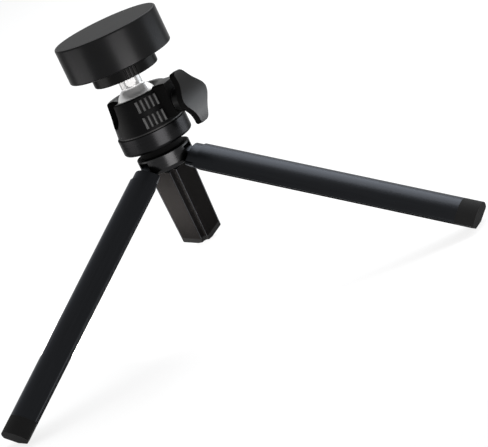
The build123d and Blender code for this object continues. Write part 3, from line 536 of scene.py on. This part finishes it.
discSizes = {"edge": (0.6, 5), "topEdge": (0.2, 2), "bore": 3.24, "grooveAngles": (-82, 38, 158),
             "grooveCount": 4, "grooveStep": 6.0, "grooveRadius": 0.5, "grooveLength": 10.0,
             "grooveSteps": 20, "steps": 192}


def lockDisc():
    low, high = boxOf("lock_disc")
    profile = ringProfile(discSizes["bore"], high.x, low.z, high.z)
    bm = turnedShape(profile, discSizes["steps"], [(1, 2, discSizes["edge"]), (2, 3, discSizes["topEdge"])])
    cutter = bmesh.new()
    middle = (discSizes["grooveCount"] - 1) / 2
    for angle in discSizes["grooveAngles"]:
        for groove in range(discSizes["grooveCount"]):
            turned = math.radians(angle + (groove - middle) * discSizes["grooveStep"])
            place = Matrix.Rotation(turned, 4, "Z") @ Matrix.Translation((high.x, 0, (low.z + high.z) / 2))
            cylinderAt(cutter, discSizes["grooveRadius"], discSizes["grooveLength"], place,
                       discSizes["grooveSteps"])
    bm = cutOut(bm, cutter)
    makePiece("lockDisc", bm, "disc", ["discPlastic"], ["lock_disc"])


padSizes = {"edge": (0.15, 2), "steps": 128}


def discPad():
    low, high = boxOf("disc_pad")
    profile = ringProfile(discSizes["bore"], high.x, low.z, high.z)
    bm = turnedShape(profile, padSizes["steps"], [(1, 3, padSizes["edge"])])
    makePiece("discPad", bm, "disc", ["footRubber"], ["disc_pad"])


ballSizes = {"radius": 9.2, "flat": 6.0, "stem": 4.8, "flare": 1.0, "topEdge": (0.3, 2),
             "spannerWidth": 4.4, "spannerDepth": 0.5, "spannerRise": 3.4, "spannerReach": 8.0,
             "cutterDepth": 3.0, "show": 8.4, "steps": 192, "ballSteps": 40, "flareSteps": 8,
             "spannerSteps": 48}
ballCentre = jointNamed("ball_tilt")["pos_m"][2] / mm


def spannerFlats(top):  # a flat for a spanner on either side of the stem
    cutter = bmesh.new()
    half = ballSizes["spannerWidth"] / 2
    height = top - ballSizes["show"] + ballSizes["spannerRise"] + half
    for side in (-1, 1):
        verts = archPrism(cutter, half, ballSizes["spannerReach"], ballSizes["cutterDepth"],
                          ballSizes["spannerSteps"])
        inset = side * (ballSizes["stem"] - ballSizes["spannerDepth"])
        upright = Matrix.Translation((0, inset, height)) @ Matrix.Rotation(math.pi / 2, 4, "X")
        if side > 0:
            upright = upright @ Matrix.Scale(-1, 4, up)
        bmesh.ops.transform(cutter, matrix=upright, verts=verts)
    bmesh.ops.recalc_face_normals(cutter, faces=cutter.faces[:])
    return cutter


def ballStem():
    top = boxOf("ball_stem")[1].z
    radius, stem, flare = ballSizes["radius"], ballSizes["stem"], ballSizes["flare"]
    rise = math.sqrt((radius + flare) ** 2 - (stem + flare) ** 2)
    meet = math.degrees(math.atan2(rise, stem + flare))  # where ball and flare touch
    foot = math.degrees(math.asin(-ballSizes["flat"] / radius))
    flareCentre = (stem + flare, ballCentre + rise)
    outline = [(0, ballCentre - ballSizes["flat"])]
    outline += arcPoints((0, ballCentre), radius, foot, meet, ballSizes["ballSteps"])
    outline += arcPoints(flareCentre, flare, 180 + meet, 180, ballSizes["flareSteps"])[1:]
    outline += [(stem, top), (0, top)]
    bm = turnedShape(outline, ballSizes["steps"], [(-2, -1, ballSizes["topEdge"])])
    bm = cutOut(bm, spannerFlats(top))
    paintFaces(bm, lambda face: face.calc_center_median().z < flareCentre[1])  # satin ball, bright stem
    makePiece("ballStem", bm, "ball", ["chromePlate", "satinBall"], ["ball_stem"])


lockDisc()
discPad()
ballStem()
print("lock disc and ball made")


# ball head casing and its knob

casingSizes = {"bottomRadius": 14.75, "topRadius": 13.3, "mouth": 11.0, "lipDrop": 1.5, "floorBore": 11.03,
               "floor": 2.6, "socket": 9.26, "rimEdge": (0.6, 4), "mouthEdge": (0.35, 3),
               "footEdge": (0.1, 3), "steps": 192, "lipSteps": 8}
earSizes = {"width": 10.4, "reach": 18.5, "lift": 1.2, "rise": 1.0, "root": 0.6, "corner": (1.0, 6),
            "edge": (0.45, 3), "clearance": 4.0, "clearanceSink": 0.05}
barSizes = {"angles": (-80, 100), "halfAngle": 22, "count": 5, "pitch": 2.1, "width": 1.05, "height": 5.0,
            "rows": 7.2, "rise": 0.4, "root": 1.8, "edge": (0.4, 4), "slotDepth": 0.55, "slotCutter": 3.0,
            "slotShorter": 0.6}
notchSizes = {"radius": 5.6, "height": 12.0, "reach": 20.0, "steps": 64}
paintLimits = {"topSlope": 0.7, "earBeside": 0.02, "earBehind": 0.1, "barsOut": 0.05}
casingFinishes = ["casingPlastic", "ribPaintedHighlight", "dullBlackAndPaintedShade", "knobPlastic"]
casingLow, casingHigh = boxOf("head_casing")
casingRim = casingHigh.z - earSizes["rise"]
knobAxis = Vector(jointNamed("lock_knob_turn")["axis"])
knobHeight = jointNamed("lock_knob_turn")["pos_m"][2] / mm
knobPlace = axesTo(up.cross(knobAxis), up, knobAxis)
knobPlace.translation = (0, 0, knobHeight)  # local Z along the lock screw, local Y up


def barPlaces(count, depth):  # bars or gaps, in two rows on each side: local X across, local -Y outward
    middle = (casingSizes["bottomRadius"] + casingSizes["topRadius"]) / 2
    height = casingRim - casingLow.z
    lean = math.atan((casingSizes["bottomRadius"] - casingSizes["topRadius"]) / height)
    for angle in barSizes["angles"]:
        face = Matrix.Translation((0, 0, (casingLow.z + casingRim) / 2))
        face = face @ Matrix.Rotation(math.radians(angle + 90), 4, "Z")
        face = face @ Matrix.Translation((0, -middle, 0)) @ Matrix.Rotation(-lean, 4, "X")
        for row in (-0.5, 0.5):
            for bar in range(count):
                across = (bar - (count - 1) / 2) * barSizes["pitch"]
                yield face @ Matrix.Translation((across, depth, row * barSizes["rows"]))


def gripBars():
    bm = bmesh.new()
    size = (barSizes["width"], barSizes["root"], barSizes["height"])
    for place in barPlaces(barSizes["count"], barSizes["root"] / 2 - barSizes["rise"]):
        verts = blockAt(bm, size, place)
        outward = place.to_3x3() @ Vector((0, -1, 0))
        faces = {face for vert in verts for face in vert.link_faces}
        top = max(faces, key=lambda face: face.calc_center_median().dot(outward))
        softenEdges(bm, list(top.edges), *barSizes["edge"])
    return bm


def slotsBetweenBars():
    bm = bmesh.new()
    thick = barSizes["slotCutter"]
    size = (barSizes["pitch"] - barSizes["width"], thick, barSizes["height"] - barSizes["slotShorter"])
    for place in barPlaces(barSizes["count"] - 1, barSizes["slotDepth"] - thick / 2):
        blockAt(bm, size, place)
    return bm


def knobEar():  # drawn along the lock screw; above the rim it stands outside the cone
    low, high = casingLow.z + earSizes["lift"], casingHigh.z
    start, end = casingSizes["mouth"] + earSizes["root"], earSizes["reach"]
    ear = bmesh.new()
    middle = Matrix.Translation((0, (high + low) / 2 - knobHeight, (end + start) / 2))
    blockAt(ear, (earSizes["width"], high - low, end - start), middle)
    softenEdges(ear, [edge for edge in ear.edges if not isLevel(edge)], *earSizes["corner"])
    outer = max(ear.faces, key=lambda face: face.calc_center_median().z)
    softenEdges(ear, list(outer.edges), *earSizes["edge"])
    placeAll(ear, knobPlace)
    above = bmesh.new()
    lift = earSizes["clearance"] / 2 - earSizes["clearanceSink"]
    cylinderAt(above, casingSizes["topRadius"], earSizes["clearance"],
               Matrix.Translation((0, 0, casingRim + lift)), casingSizes["steps"])
    return cutOut(ear, above)


def dropNotch():  # the stem drops into it, square to the ball's tilt axis
    bm = bmesh.new()
    archPrism(bm, notchSizes["radius"], notchSizes["height"], notchSizes["reach"], notchSizes["steps"])
    outward = Vector(jointNamed("ball_tilt")["axis"]).cross(-up)
    placeAll(bm, Matrix.Translation((0, 0, ballCentre)) @ axesTo(up.cross(outward), up, outward))
    bmesh.ops.recalc_face_normals(bm, faces=bm.faces[:])
    return bm


def casingFinish(face):
    centre = face.calc_center_median()
    share = (centre.z - casingLow.z) / (casingRim - casingLow.z)
    taper = casingSizes["topRadius"] - casingSizes["bottomRadius"]
    wall = casingSizes["bottomRadius"] + share * taper
    reach = centre.xy.length
    turned = math.degrees(math.atan2(centre.y, centre.x))
    fromBars = min(abs((turned - angle + 180) % 360 - 180) for angle in barSizes["angles"])
    onEar = knobPlace.inverted() @ centre
    besideEar = onEar.z > 0 and abs(onEar.x) < earSizes["width"] / 2 + paintLimits["earBeside"]
    if face.normal.z > paintLimits["topSlope"] and centre.z > casingRim - casingSizes["lipDrop"]:
        return casingFinishes.index("knobPlastic")  # the top of rim and ear
    if besideEar and reach > wall - paintLimits["earBehind"]:
        return casingFinishes.index("dullBlackAndPaintedShade")  # the rest of the ear
    # the grip bars, painted lighter grey as highlight
    if fromBars < barSizes["halfAngle"] and reach > wall + paintLimits["barsOut"]:
        return casingFinishes.index("ribPaintedHighlight")
    return casingFinishes.index("casingPlastic")


def headCasing():
    low, high = casingLow.z, casingRim
    socket, bore, floorTop = casingSizes["socket"], casingSizes["floorBore"], low + casingSizes["floor"]
    lipAngle = math.degrees(math.asin((high - casingSizes["lipDrop"] - ballCentre) / socket))
    outline = [(bore, low), (casingSizes["bottomRadius"], low),
               (casingSizes["topRadius"], high), (casingSizes["mouth"], high)]
    outline += arcPoints((0, ballCentre), socket, lipAngle, 0, casingSizes["lipSteps"])
    outline += [(socket, floorTop), (bore, floorTop)]
    edges = [(1, 2, casingSizes["footEdge"]), (2, 3, casingSizes["rimEdge"]),
             (3, 4, casingSizes["mouthEdge"])]
    bm = turnedShape(outline, casingSizes["steps"], edges)
    bm = joinOn(bm, knobEar())
    bm = joinOn(bm, gripBars())
    bm = cutOut(bm, slotsBetweenBars())
    bm = cutOut(bm, dropNotch())
    paintFaces(bm, casingFinish)
    makePiece("headCasing", bm, "head", casingFinishes, ["head_casing"])


knobSizes = {"hubRadius": 5.2, "hubLength": 5.65, "hubLap": 1.0, "hubEdge": (0.3, 2), "hubSteps": 96,
             "face": 19.1, "thickness": 2.8, "halfLength": 11.8, "tipHalfWidth": 3.0, "waistHeight": 6.8,
             "waistHalfWidth": 4.9, "halfWidth": 9.35, "lobeHalfHeight": 1.5, "corner": (1.6, 6),
             "rim": (0.7, 4), "thumbSlope": 0.85, "bow": 2.3, "bowCuts": 30, "bowStep": 0.8, "cant": 6.5}


def wingKnob():
    front, back = knobSizes["face"], knobSizes["face"] + knobSizes["hubLength"]
    quarter = [(knobSizes["tipHalfWidth"], knobSizes["halfLength"]),
               (knobSizes["waistHalfWidth"], knobSizes["waistHeight"]),
               (knobSizes["halfWidth"], knobSizes["lobeHalfHeight"])]
    right = quarter + [(x, -y) for x, y in reversed(quarter)]
    bm = bmesh.new()
    corners = drawOutline(bm, right + [(-x, -y) for x, y in right], 0)
    roundCorners(bm, corners, *knobSizes["corner"])
    underside = bmesh.ops.contextual_create(bm, geom=bm.edges[:])["faces"][0]
    raiseFace(bm, underside, knobSizes["thickness"])
    softenEdges(bm, [edge for edge in bm.edges if isLevel(edge)], *knobSizes["rim"])
    paintFaces(bm, lambda face: face.normal.z <= knobSizes["thumbSlope"])  # the thumb's face shines
    for cut in range(knobSizes["bowCuts"]):
        height = (cut - (knobSizes["bowCuts"] - 1) / 2) * knobSizes["bowStep"]
        splitAt(bm, (0, height, 0), (0, 1, 0))
    for vert in bm.verts:  # the wing arches away from the thumb towards its tips
        vert.co.z -= knobSizes["bow"] * (vert.co.y / knobSizes["halfLength"]) ** 2
    cant = Matrix.Rotation(-math.radians(knobSizes["cant"]), 4, "X")
    placeAll(bm, Matrix.Translation((0, 0, back)) @ cant)
    radius, end = knobSizes["hubRadius"], back + knobSizes["hubLap"]
    profile = [(0, front), (radius, front), (radius, end), (0, end)]
    bm = joinOn(bm, turnedShape(profile, knobSizes["hubSteps"], [(1, 2, knobSizes["hubEdge"])]))
    makePiece("wingKnob", bm, "knob", ["knobPlastic", "dullBlackAndPaintedShade"], ["wing_knob"],
              place=knobPlace)


headCasing()
wingKnob()
print("ball head made")


# base ring and hub

ringSizes = {"lowerEdge": (1.4, 6), "upperEdge": (0.2, 3), "bore": 5.03, "seatSlope": 0.3, "steps": 192}
hubSizes = {"foot": 10.3, "taper": 1.6, "radius": 11.8, "above": 2.8, "shoulderEdge": (0.4, 4), "neck": 9.5,
            "screwHead": 3.65, "screwHole": 2.15, "screwSink": 3.8, "slotWidth": 6.4, "slotInner": 5.65,
            "slotLength": 12.0, "slotRoof": 1.85, "slotBelow": 2.0, "pinBore": 1.01, "pinReach": 5.6,
            "drillLength": 16.0, "edge": (0.35, 3), "paintedShadeMargin": 0.05, "steps": 192, "drillSteps": 32}
legSides = {"right": 1, "rear": 1, "left": -1}  # the way each hinge pin goes in


def hingeOf(side):  # pivot point, outward and sideways directions of a leg's hinge
    joint = jointNamed(f"leg_{side}_fold")
    pivot = Vector(joint["pos_m"]) / mm
    outward = Vector((pivot.x, pivot.y, 0)).normalized()
    return pivot, outward, Vector(joint["axis"])


def baseRing():
    low, high = boxOf("base_ring")
    profile = ringProfile(ringSizes["bore"], high.x, low.z, high.z)
    edges = [(1, 2, ringSizes["lowerEdge"]), (2, 3, ringSizes["upperEdge"])]
    bm = turnedShape(profile, ringSizes["steps"], edges)
    paintFaces(bm, lambda face: face.normal.z > ringSizes["seatSlope"])  # the seat under the casing is painted dull black, as shade under the casing
    makePiece("baseRing", bm, "base", ["turnedBlack", "dullBlackAndPaintedShade"], ["base_ring"])


def legSlots(bottom, roof):
    cutter = bmesh.new()
    reach = hubSizes["slotInner"] + hubSizes["slotLength"] / 2
    for side in legSides:
        outward = hingeOf(side)[1]
        place = axesTo(outward, up.cross(outward), up) @ Matrix.Translation((reach, 0, (roof + bottom) / 2))
        blockAt(cutter, (hubSizes["slotLength"], hubSizes["slotWidth"], roof - bottom), place)
    return cutter


def pinBore(side):
    pivot, _, sideways = hingeOf(side)
    entry = legSides[side]
    start = pivot - sideways * entry * hubSizes["pinReach"]
    drill = sideways.to_track_quat("Z", "X").to_matrix().to_4x4()
    drill.translation = start + sideways * entry * (hubSizes["drillLength"] / 2)
    bore = bmesh.new()
    cylinderAt(bore, hubSizes["pinBore"], hubSizes["drillLength"], drill, hubSizes["drillSteps"])
    return bore


def tripodHub():
    low, high = boxOf("hub")
    pivotHeight = hingeOf("rear")[0].z
    shoulder = pivotHeight + hubSizes["above"]
    seat = low.z + hubSizes["screwSink"]
    radius, neck = hubSizes["radius"], hubSizes["neck"]
    head, hole = hubSizes["screwHead"], hubSizes["screwHole"]
    profile = [(head, low.z), (hubSizes["foot"], low.z), (radius, low.z + hubSizes["taper"]),
               (radius, shoulder), (neck, shoulder), (neck, high.z), (hole, high.z), (hole, seat),
               (head, seat)]
    edges = [(1, 3, hubSizes["edge"]), (3, 4, hubSizes["shoulderEdge"])]
    bm = turnedShape(profile, hubSizes["steps"], edges)
    bm = cutOut(bm, legSlots(low.z - hubSizes["slotBelow"], pivotHeight + hubSizes["slotRoof"]))
    for side in legSides:
        bm = cutOut(bm, pinBore(side))
    collarTop = radius - hubSizes["shoulderEdge"][0]

    def inPaintedShade(face):  # the neck and the top of the collar, painted dull black as shade under the ring
        centre = face.calc_center_median()
        return centre.z > shoulder - hubSizes["paintedShadeMargin"] and centre.xy.length < collarTop

    paintFaces(bm, inPaintedShade)
    makePiece("tripodHub", bm, "base", ["turnedHubPaintedHighlight", "dullBlackAndPaintedShade"], ["hub"])


baseRing()
tripodHub()
print("base ring and hub made")


# legs

legSizes = {"radius": 11.7, "axisOffset": 7.5, "halfSector": 60.0, "gap": 0.3, "relief": 2.0,
            "corner": (0.9, 5), "spread": 60.0, "length": 129.25, "tongueLength": 5.7, "shoulder": 4.0,
            "foot": 7.95, "footEdge": (0.9, 5), "seam": (0.18, 2), "roundSteps": 28, "reliefSteps": 8,
            "flatSlope": 0.8, "endSlope": 0.1, "smoothAngle": 25}
knuckleSizes = {"inset": 0.5, "edge": (0.3, 3), "tongueRadius": 1.7, "tongueWidth": 5.6, "tongueLap": 2.0,
                "tongueSteps": 48, "pinHole": 1.04, "pinHoleLength": 12.0, "pinHoleSteps": 32}


def legFrame(side):  # local Z runs down the leg, local X to its upper side
    pivot, outward, _ = hingeOf(side)
    spread = math.radians(legSizes["spread"])
    along = outward * math.sin(spread) - Vector((0, 0, math.cos(spread)))
    upper = outward * math.cos(spread) + Vector((0, 0, math.sin(spread)))
    place = axesTo(upper, along.cross(upper), along)
    place.translation = pivot
    return place


def legSection(bm, inset, height):  # a third of a round bar, with a groove where the legs meet
    half = math.radians(legSizes["halfSector"])
    radius = legSizes["radius"] - inset
    relief = legSizes["relief"] + inset
    tip = legSizes["gap"] / 2 / math.sin(half) + inset / math.sin(half)  # apex of the two flats
    centre = (-legSizes["axisOffset"], 0)

    def flatAngle(reach):  # where a flat crosses a circle about the closed legs' axis
        return math.degrees(half - math.asin(tip * math.sin(half) / reach))

    outer = flatAngle(radius)
    inner = flatAngle(relief)
    points = arcPoints(centre, radius, -outer, outer, legSizes["roundSteps"])
    points += arcPoints(centre, relief, inner, -inner, legSizes["reliefSteps"])
    verts = drawOutline(bm, points, height)
    roundCorners(bm, [verts[0], verts[legSizes["roundSteps"]]], *legSizes["corner"])
    return bmesh.ops.contextual_create(bm, geom=[edge for edge in bm.edges if edge.is_wire])["faces"][0]


def softenEnd(bm, height, edge):
    near = meshSizes["near"]
    rims = [rim for rim in bm.edges if all(abs(vert.co.z - height) < near for vert in rim.verts)]
    softenEdges(bm, rims, *edge)


def isInnerFlat(face):  # the two flats that meet the other legs
    return face.normal.x < -legSizes["flatSlope"] and abs(face.normal.z) < legSizes["endSlope"]


def legTube(side):
    start = legSizes["tongueLength"] + legSizes["shoulder"]
    end = legSizes["length"] - legSizes["foot"]
    bm = bmesh.new()
    raiseFace(bm, legSection(bm, 0, start), end - start)
    for height in (start, end):
        softenEnd(bm, height, legSizes["seam"])
    paintFaces(bm, isInnerFlat)
    makePiece(f"legTube_{side}", bm, f"leg_{side}", ["brushedLeg", "innerFlat"],
              [f"leg_tube_{side}"], place=legFrame(side), smoothAngle=legSizes["smoothAngle"])


def legKnuckle(side):
    top = legSizes["tongueLength"]
    width = knuckleSizes["tongueWidth"]
    bm = bmesh.new()
    raiseFace(bm, legSection(bm, knuckleSizes["inset"], top), legSizes["shoulder"])
    softenEnd(bm, top, knuckleSizes["edge"])
    tongue = bmesh.new()
    archPrism(tongue, knuckleSizes["tongueRadius"], top + knuckleSizes["tongueLap"], width,
              knuckleSizes["tongueSteps"])
    placeAll(tongue, Matrix(((1, 0, 0, 0), (0, 0, 1, -width / 2), (0, 1, 0, 0), (0, 0, 0, 1))))  # Y to Z
    bmesh.ops.recalc_face_normals(tongue, faces=tongue.faces[:])
    bm = joinOn(bm, tongue)
    bore = bmesh.new()
    cylinderAt(bore, knuckleSizes["pinHole"], knuckleSizes["pinHoleLength"],
               Matrix.Rotation(math.pi / 2, 4, "X"), knuckleSizes["pinHoleSteps"])
    bm = cutOut(bm, bore)
    makePiece(f"legKnuckle_{side}", bm, f"leg_{side}", ["brushedLeg"],
              [f"leg_knuckle_{side}"], place=legFrame(side))


def legFoot(side):
    start = legSizes["length"] - legSizes["foot"]
    bm = bmesh.new()
    raiseFace(bm, legSection(bm, 0, start), legSizes["foot"])
    softenEnd(bm, legSizes["length"], legSizes["footEdge"])
    softenEnd(bm, start, legSizes["seam"])
    place = legFrame(side)
    ground = place.inverted()
    upward = (ground.to_3x3() @ up).normalized()
    cut = splitAt(bm, ground.translation, upward, clear=True)
    rim = [part for part in cut["geom_cut"] if isinstance(part, bmesh.types.BMEdge)]
    bmesh.ops.contextual_create(bm, geom=rim)  # the flat sole
    makePiece(f"legFoot_{side}", bm, f"leg_{side}", ["footRubber"], [f"leg_foot_{side}"],
              place=place)


for legSide in legSides:
    legTube(legSide)
    legKnuckle(legSide)
    legFoot(legSide)
print("legs made")


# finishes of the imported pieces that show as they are

nodeFinishes = {
    "plainSteel": ["hinge_pins", "hub_screw", "lock_screw", "camera_stud", "cover_screws", "microphone",
                   "usb_socket_shell"],
    "nylon": ["hinge_washers", "pan_washer", "ball_seat", "brake_shoe", "knob_washer"],
    "turnedBlack": ["casing_floor_ring"],
    "turnedBrass": ["pan_pivot", "thread_insert"],
    "coatedGlass": ["lens_elements"],
    "clearPlastic": ["light_pipe"],
    "casingPlastic": ["lens_holder"],
    "glossBlack": ["usb_socket_tongue"],
    "chipEpoxy": ["image_sensor", "image_processor"],
    "boardGreen": ["sensor_board", "main_board"],
    "lampCase": ["status_lamp"],
    "footRubber": ["microphone_boot"],
    "amberFilm": ["ribbon_cable"],
}
for finishName, nodeNames in nodeFinishes.items():
    for nodeName in nodeNames:
        slots = frame["nodes"][nodeName].data.materials
        slots.clear()
        slots.append(finishes[finishName])
print("packed pieces finished")


# stage, light and camera

stageSizes = {"floorRadius": 4.0, "floorSteps": 96, "floorShade": 0.62, "seenShade": 0.25, "glow": 0.80,
              "worldLight": 0.22, "worldSeen": 1.0}


def seenDirectly(tree):  # 1 for what the camera sees, also in metal and through glass
    rays = addNode(tree, "ShaderNodeLightPath")
    either = mathNode(tree, "MAXIMUM", rays.outputs["Is Camera Ray"], rays.outputs["Is Glossy Ray"])
    return mathNode(tree, "MAXIMUM", either, rays.outputs["Is Transmission Ray"])


def matteNode(tree, shade):
    matte = addNode(tree, "ShaderNodeBsdfDiffuse")
    matte.inputs["Color"].default_value = (shade, shade, shade, 1)
    return matte.outputs[0]


def floorFinish():
    material = bpy.data.materials.new("studioFloor")
    material.use_nodes = True
    tree = material.node_tree
    tree.nodes.clear()
    glow = addNode(tree, "ShaderNodeEmission")
    glow.inputs["Strength"].default_value = stageSizes["glow"]
    seen = addNode(tree, "ShaderNodeAddShader")
    tree.links.new(matteNode(tree, stageSizes["seenShade"]), seen.inputs[0])
    tree.links.new(glow.outputs[0], seen.inputs[1])
    mixed = addNode(tree, "ShaderNodeMixShader")
    tree.links.new(seenDirectly(tree), mixed.inputs[0])
    tree.links.new(matteNode(tree, stageSizes["floorShade"]), mixed.inputs[1])
    tree.links.new(seen.outputs[0], mixed.inputs[2])
    output = addNode(tree, "ShaderNodeOutputMaterial")
    tree.links.new(mixed.outputs[0], output.inputs["Surface"])
    return material


def backdropFloor():
    bm = bmesh.new()
    bmesh.ops.create_circle(bm, cap_ends=True, segments=stageSizes["floorSteps"],
                            radius=stageSizes["floorRadius"])
    floor = newObject("studioFloor", newMesh(bm, "studioFloor"))
    floor.data.materials.append(floorFinish())


def studioWorld():
    world = bpy.data.worlds.new("studio")
    bpy.context.scene.world = world
    world.use_nodes = True
    tree = world.node_tree
    background = tree.nodes["Background"]
    background.inputs["Color"].default_value = (1, 1, 1, 1)
    strength = rangeNode(tree, seenDirectly(tree), stageSizes["worldLight"], stageSizes["worldSeen"])
    tree.links.new(strength, background.inputs["Strength"])


lamps = {  # place, aim and size in metres, power in watts
    "backRight": {"place": (0.62, 0.64, 0.92), "aim": (0.03, 0, 0.06), "size": (0.75, 1.0),
                  "power": 20, "color": (0.96, 0.98, 1.0)},
    "front": {"place": (0.063, -0.252, 0.0385), "aim": (0, 0, 0.09), "size": (0.17, 0.075),
              "power": 0.48, "color": (1, 0.98, 0.97)},
    "right": {"place": (0.264, 0.056, 0.050), "aim": (0, 0, 0.09), "size": (0.19, 0.050),
              "power": 0.20, "color": (0.90, 0.95, 1.0)},
    "lowRight": {"place": (0.24, 0.055, 0.003), "aim": (0.24, 0.055, 1), "size": (0.12, 0.12),
                 "power": 0.58, "color": (0.96, 0.98, 1.0)},
    "left": {"place": (-0.27, 0.009, 0.060), "aim": (0, 0, 0.09), "size": (0.25, 0.050),
             "power": 0.20, "color": (1, 0.98, 0.97)},
    "lowLeft": {"place": (-0.085, 0.042, 0.018), "aim": (0, 0.085, 0.03), "size": (0.05, 0.03),
                "power": 0.50, "color": (1, 0.96, 0.94), "mirrored": False},
}


def studioLamps():
    for name, lamp in lamps.items():
        light = bpy.data.lights.new(name, "AREA")
        light.shape = "RECTANGLE"
        light.size, light.size_y = lamp["size"]
        light.energy = lamp["power"]
        light.color = lamp["color"]
        holder = newObject(name, light)
        place = Vector(lamp["place"])
        holder.location = place
        holder.visible_camera = False
        holder.visible_glossy = lamp.get("mirrored", True)
        holder.rotation_euler = (Vector(lamp["aim"]) - place).to_track_quat("-Z", "Y").to_euler()


cameraLook = {"elevation": 13.915, "azimuth": -1.087, "roll": 25.308, "lens": 180.84, "sensorWidth": 36,
              "clipEnd": 50, "ringCentre": (-35.417, -34.090, 1020.316)}  # as the camera has it, in mm


def photoCamera():
    elevation, azimuth, roll = (math.radians(cameraLook[key]) for key in ("elevation", "azimuth", "roll"))
    back = Vector((math.sin(azimuth) * math.cos(elevation), -math.cos(azimuth) * math.cos(elevation),
                   math.sin(elevation)))
    level = up.cross(back).normalized()
    upright = back.cross(level)
    across = level * math.cos(roll) - upright * math.sin(roll)
    upward = level * math.sin(roll) + upright * math.cos(roll)
    aside, below, away = cameraLook["ringCentre"]
    ringFoot = Vector((0, 0, boxOf("base_ring")[0].z))
    place = ringFoot - across * aside + upward * below + back * away
    data = bpy.data.cameras.new("photoCamera")
    data.sensor_fit = "HORIZONTAL"
    data.sensor_width = cameraLook["sensorWidth"]
    data.lens = cameraLook["lens"]
    data.clip_end = cameraLook["clipEnd"]
    camera = newObject("photoCamera", data)
    camera.matrix_world = Matrix.Translation(place * mm) @ axesTo(across, upward, back)
    bpy.context.scene.camera = camera


backdropFloor()
studioWorld()
studioLamps()
photoCamera()
bpy.context.scene.view_settings.view_transform = "Standard"
print("stage, light and camera set")
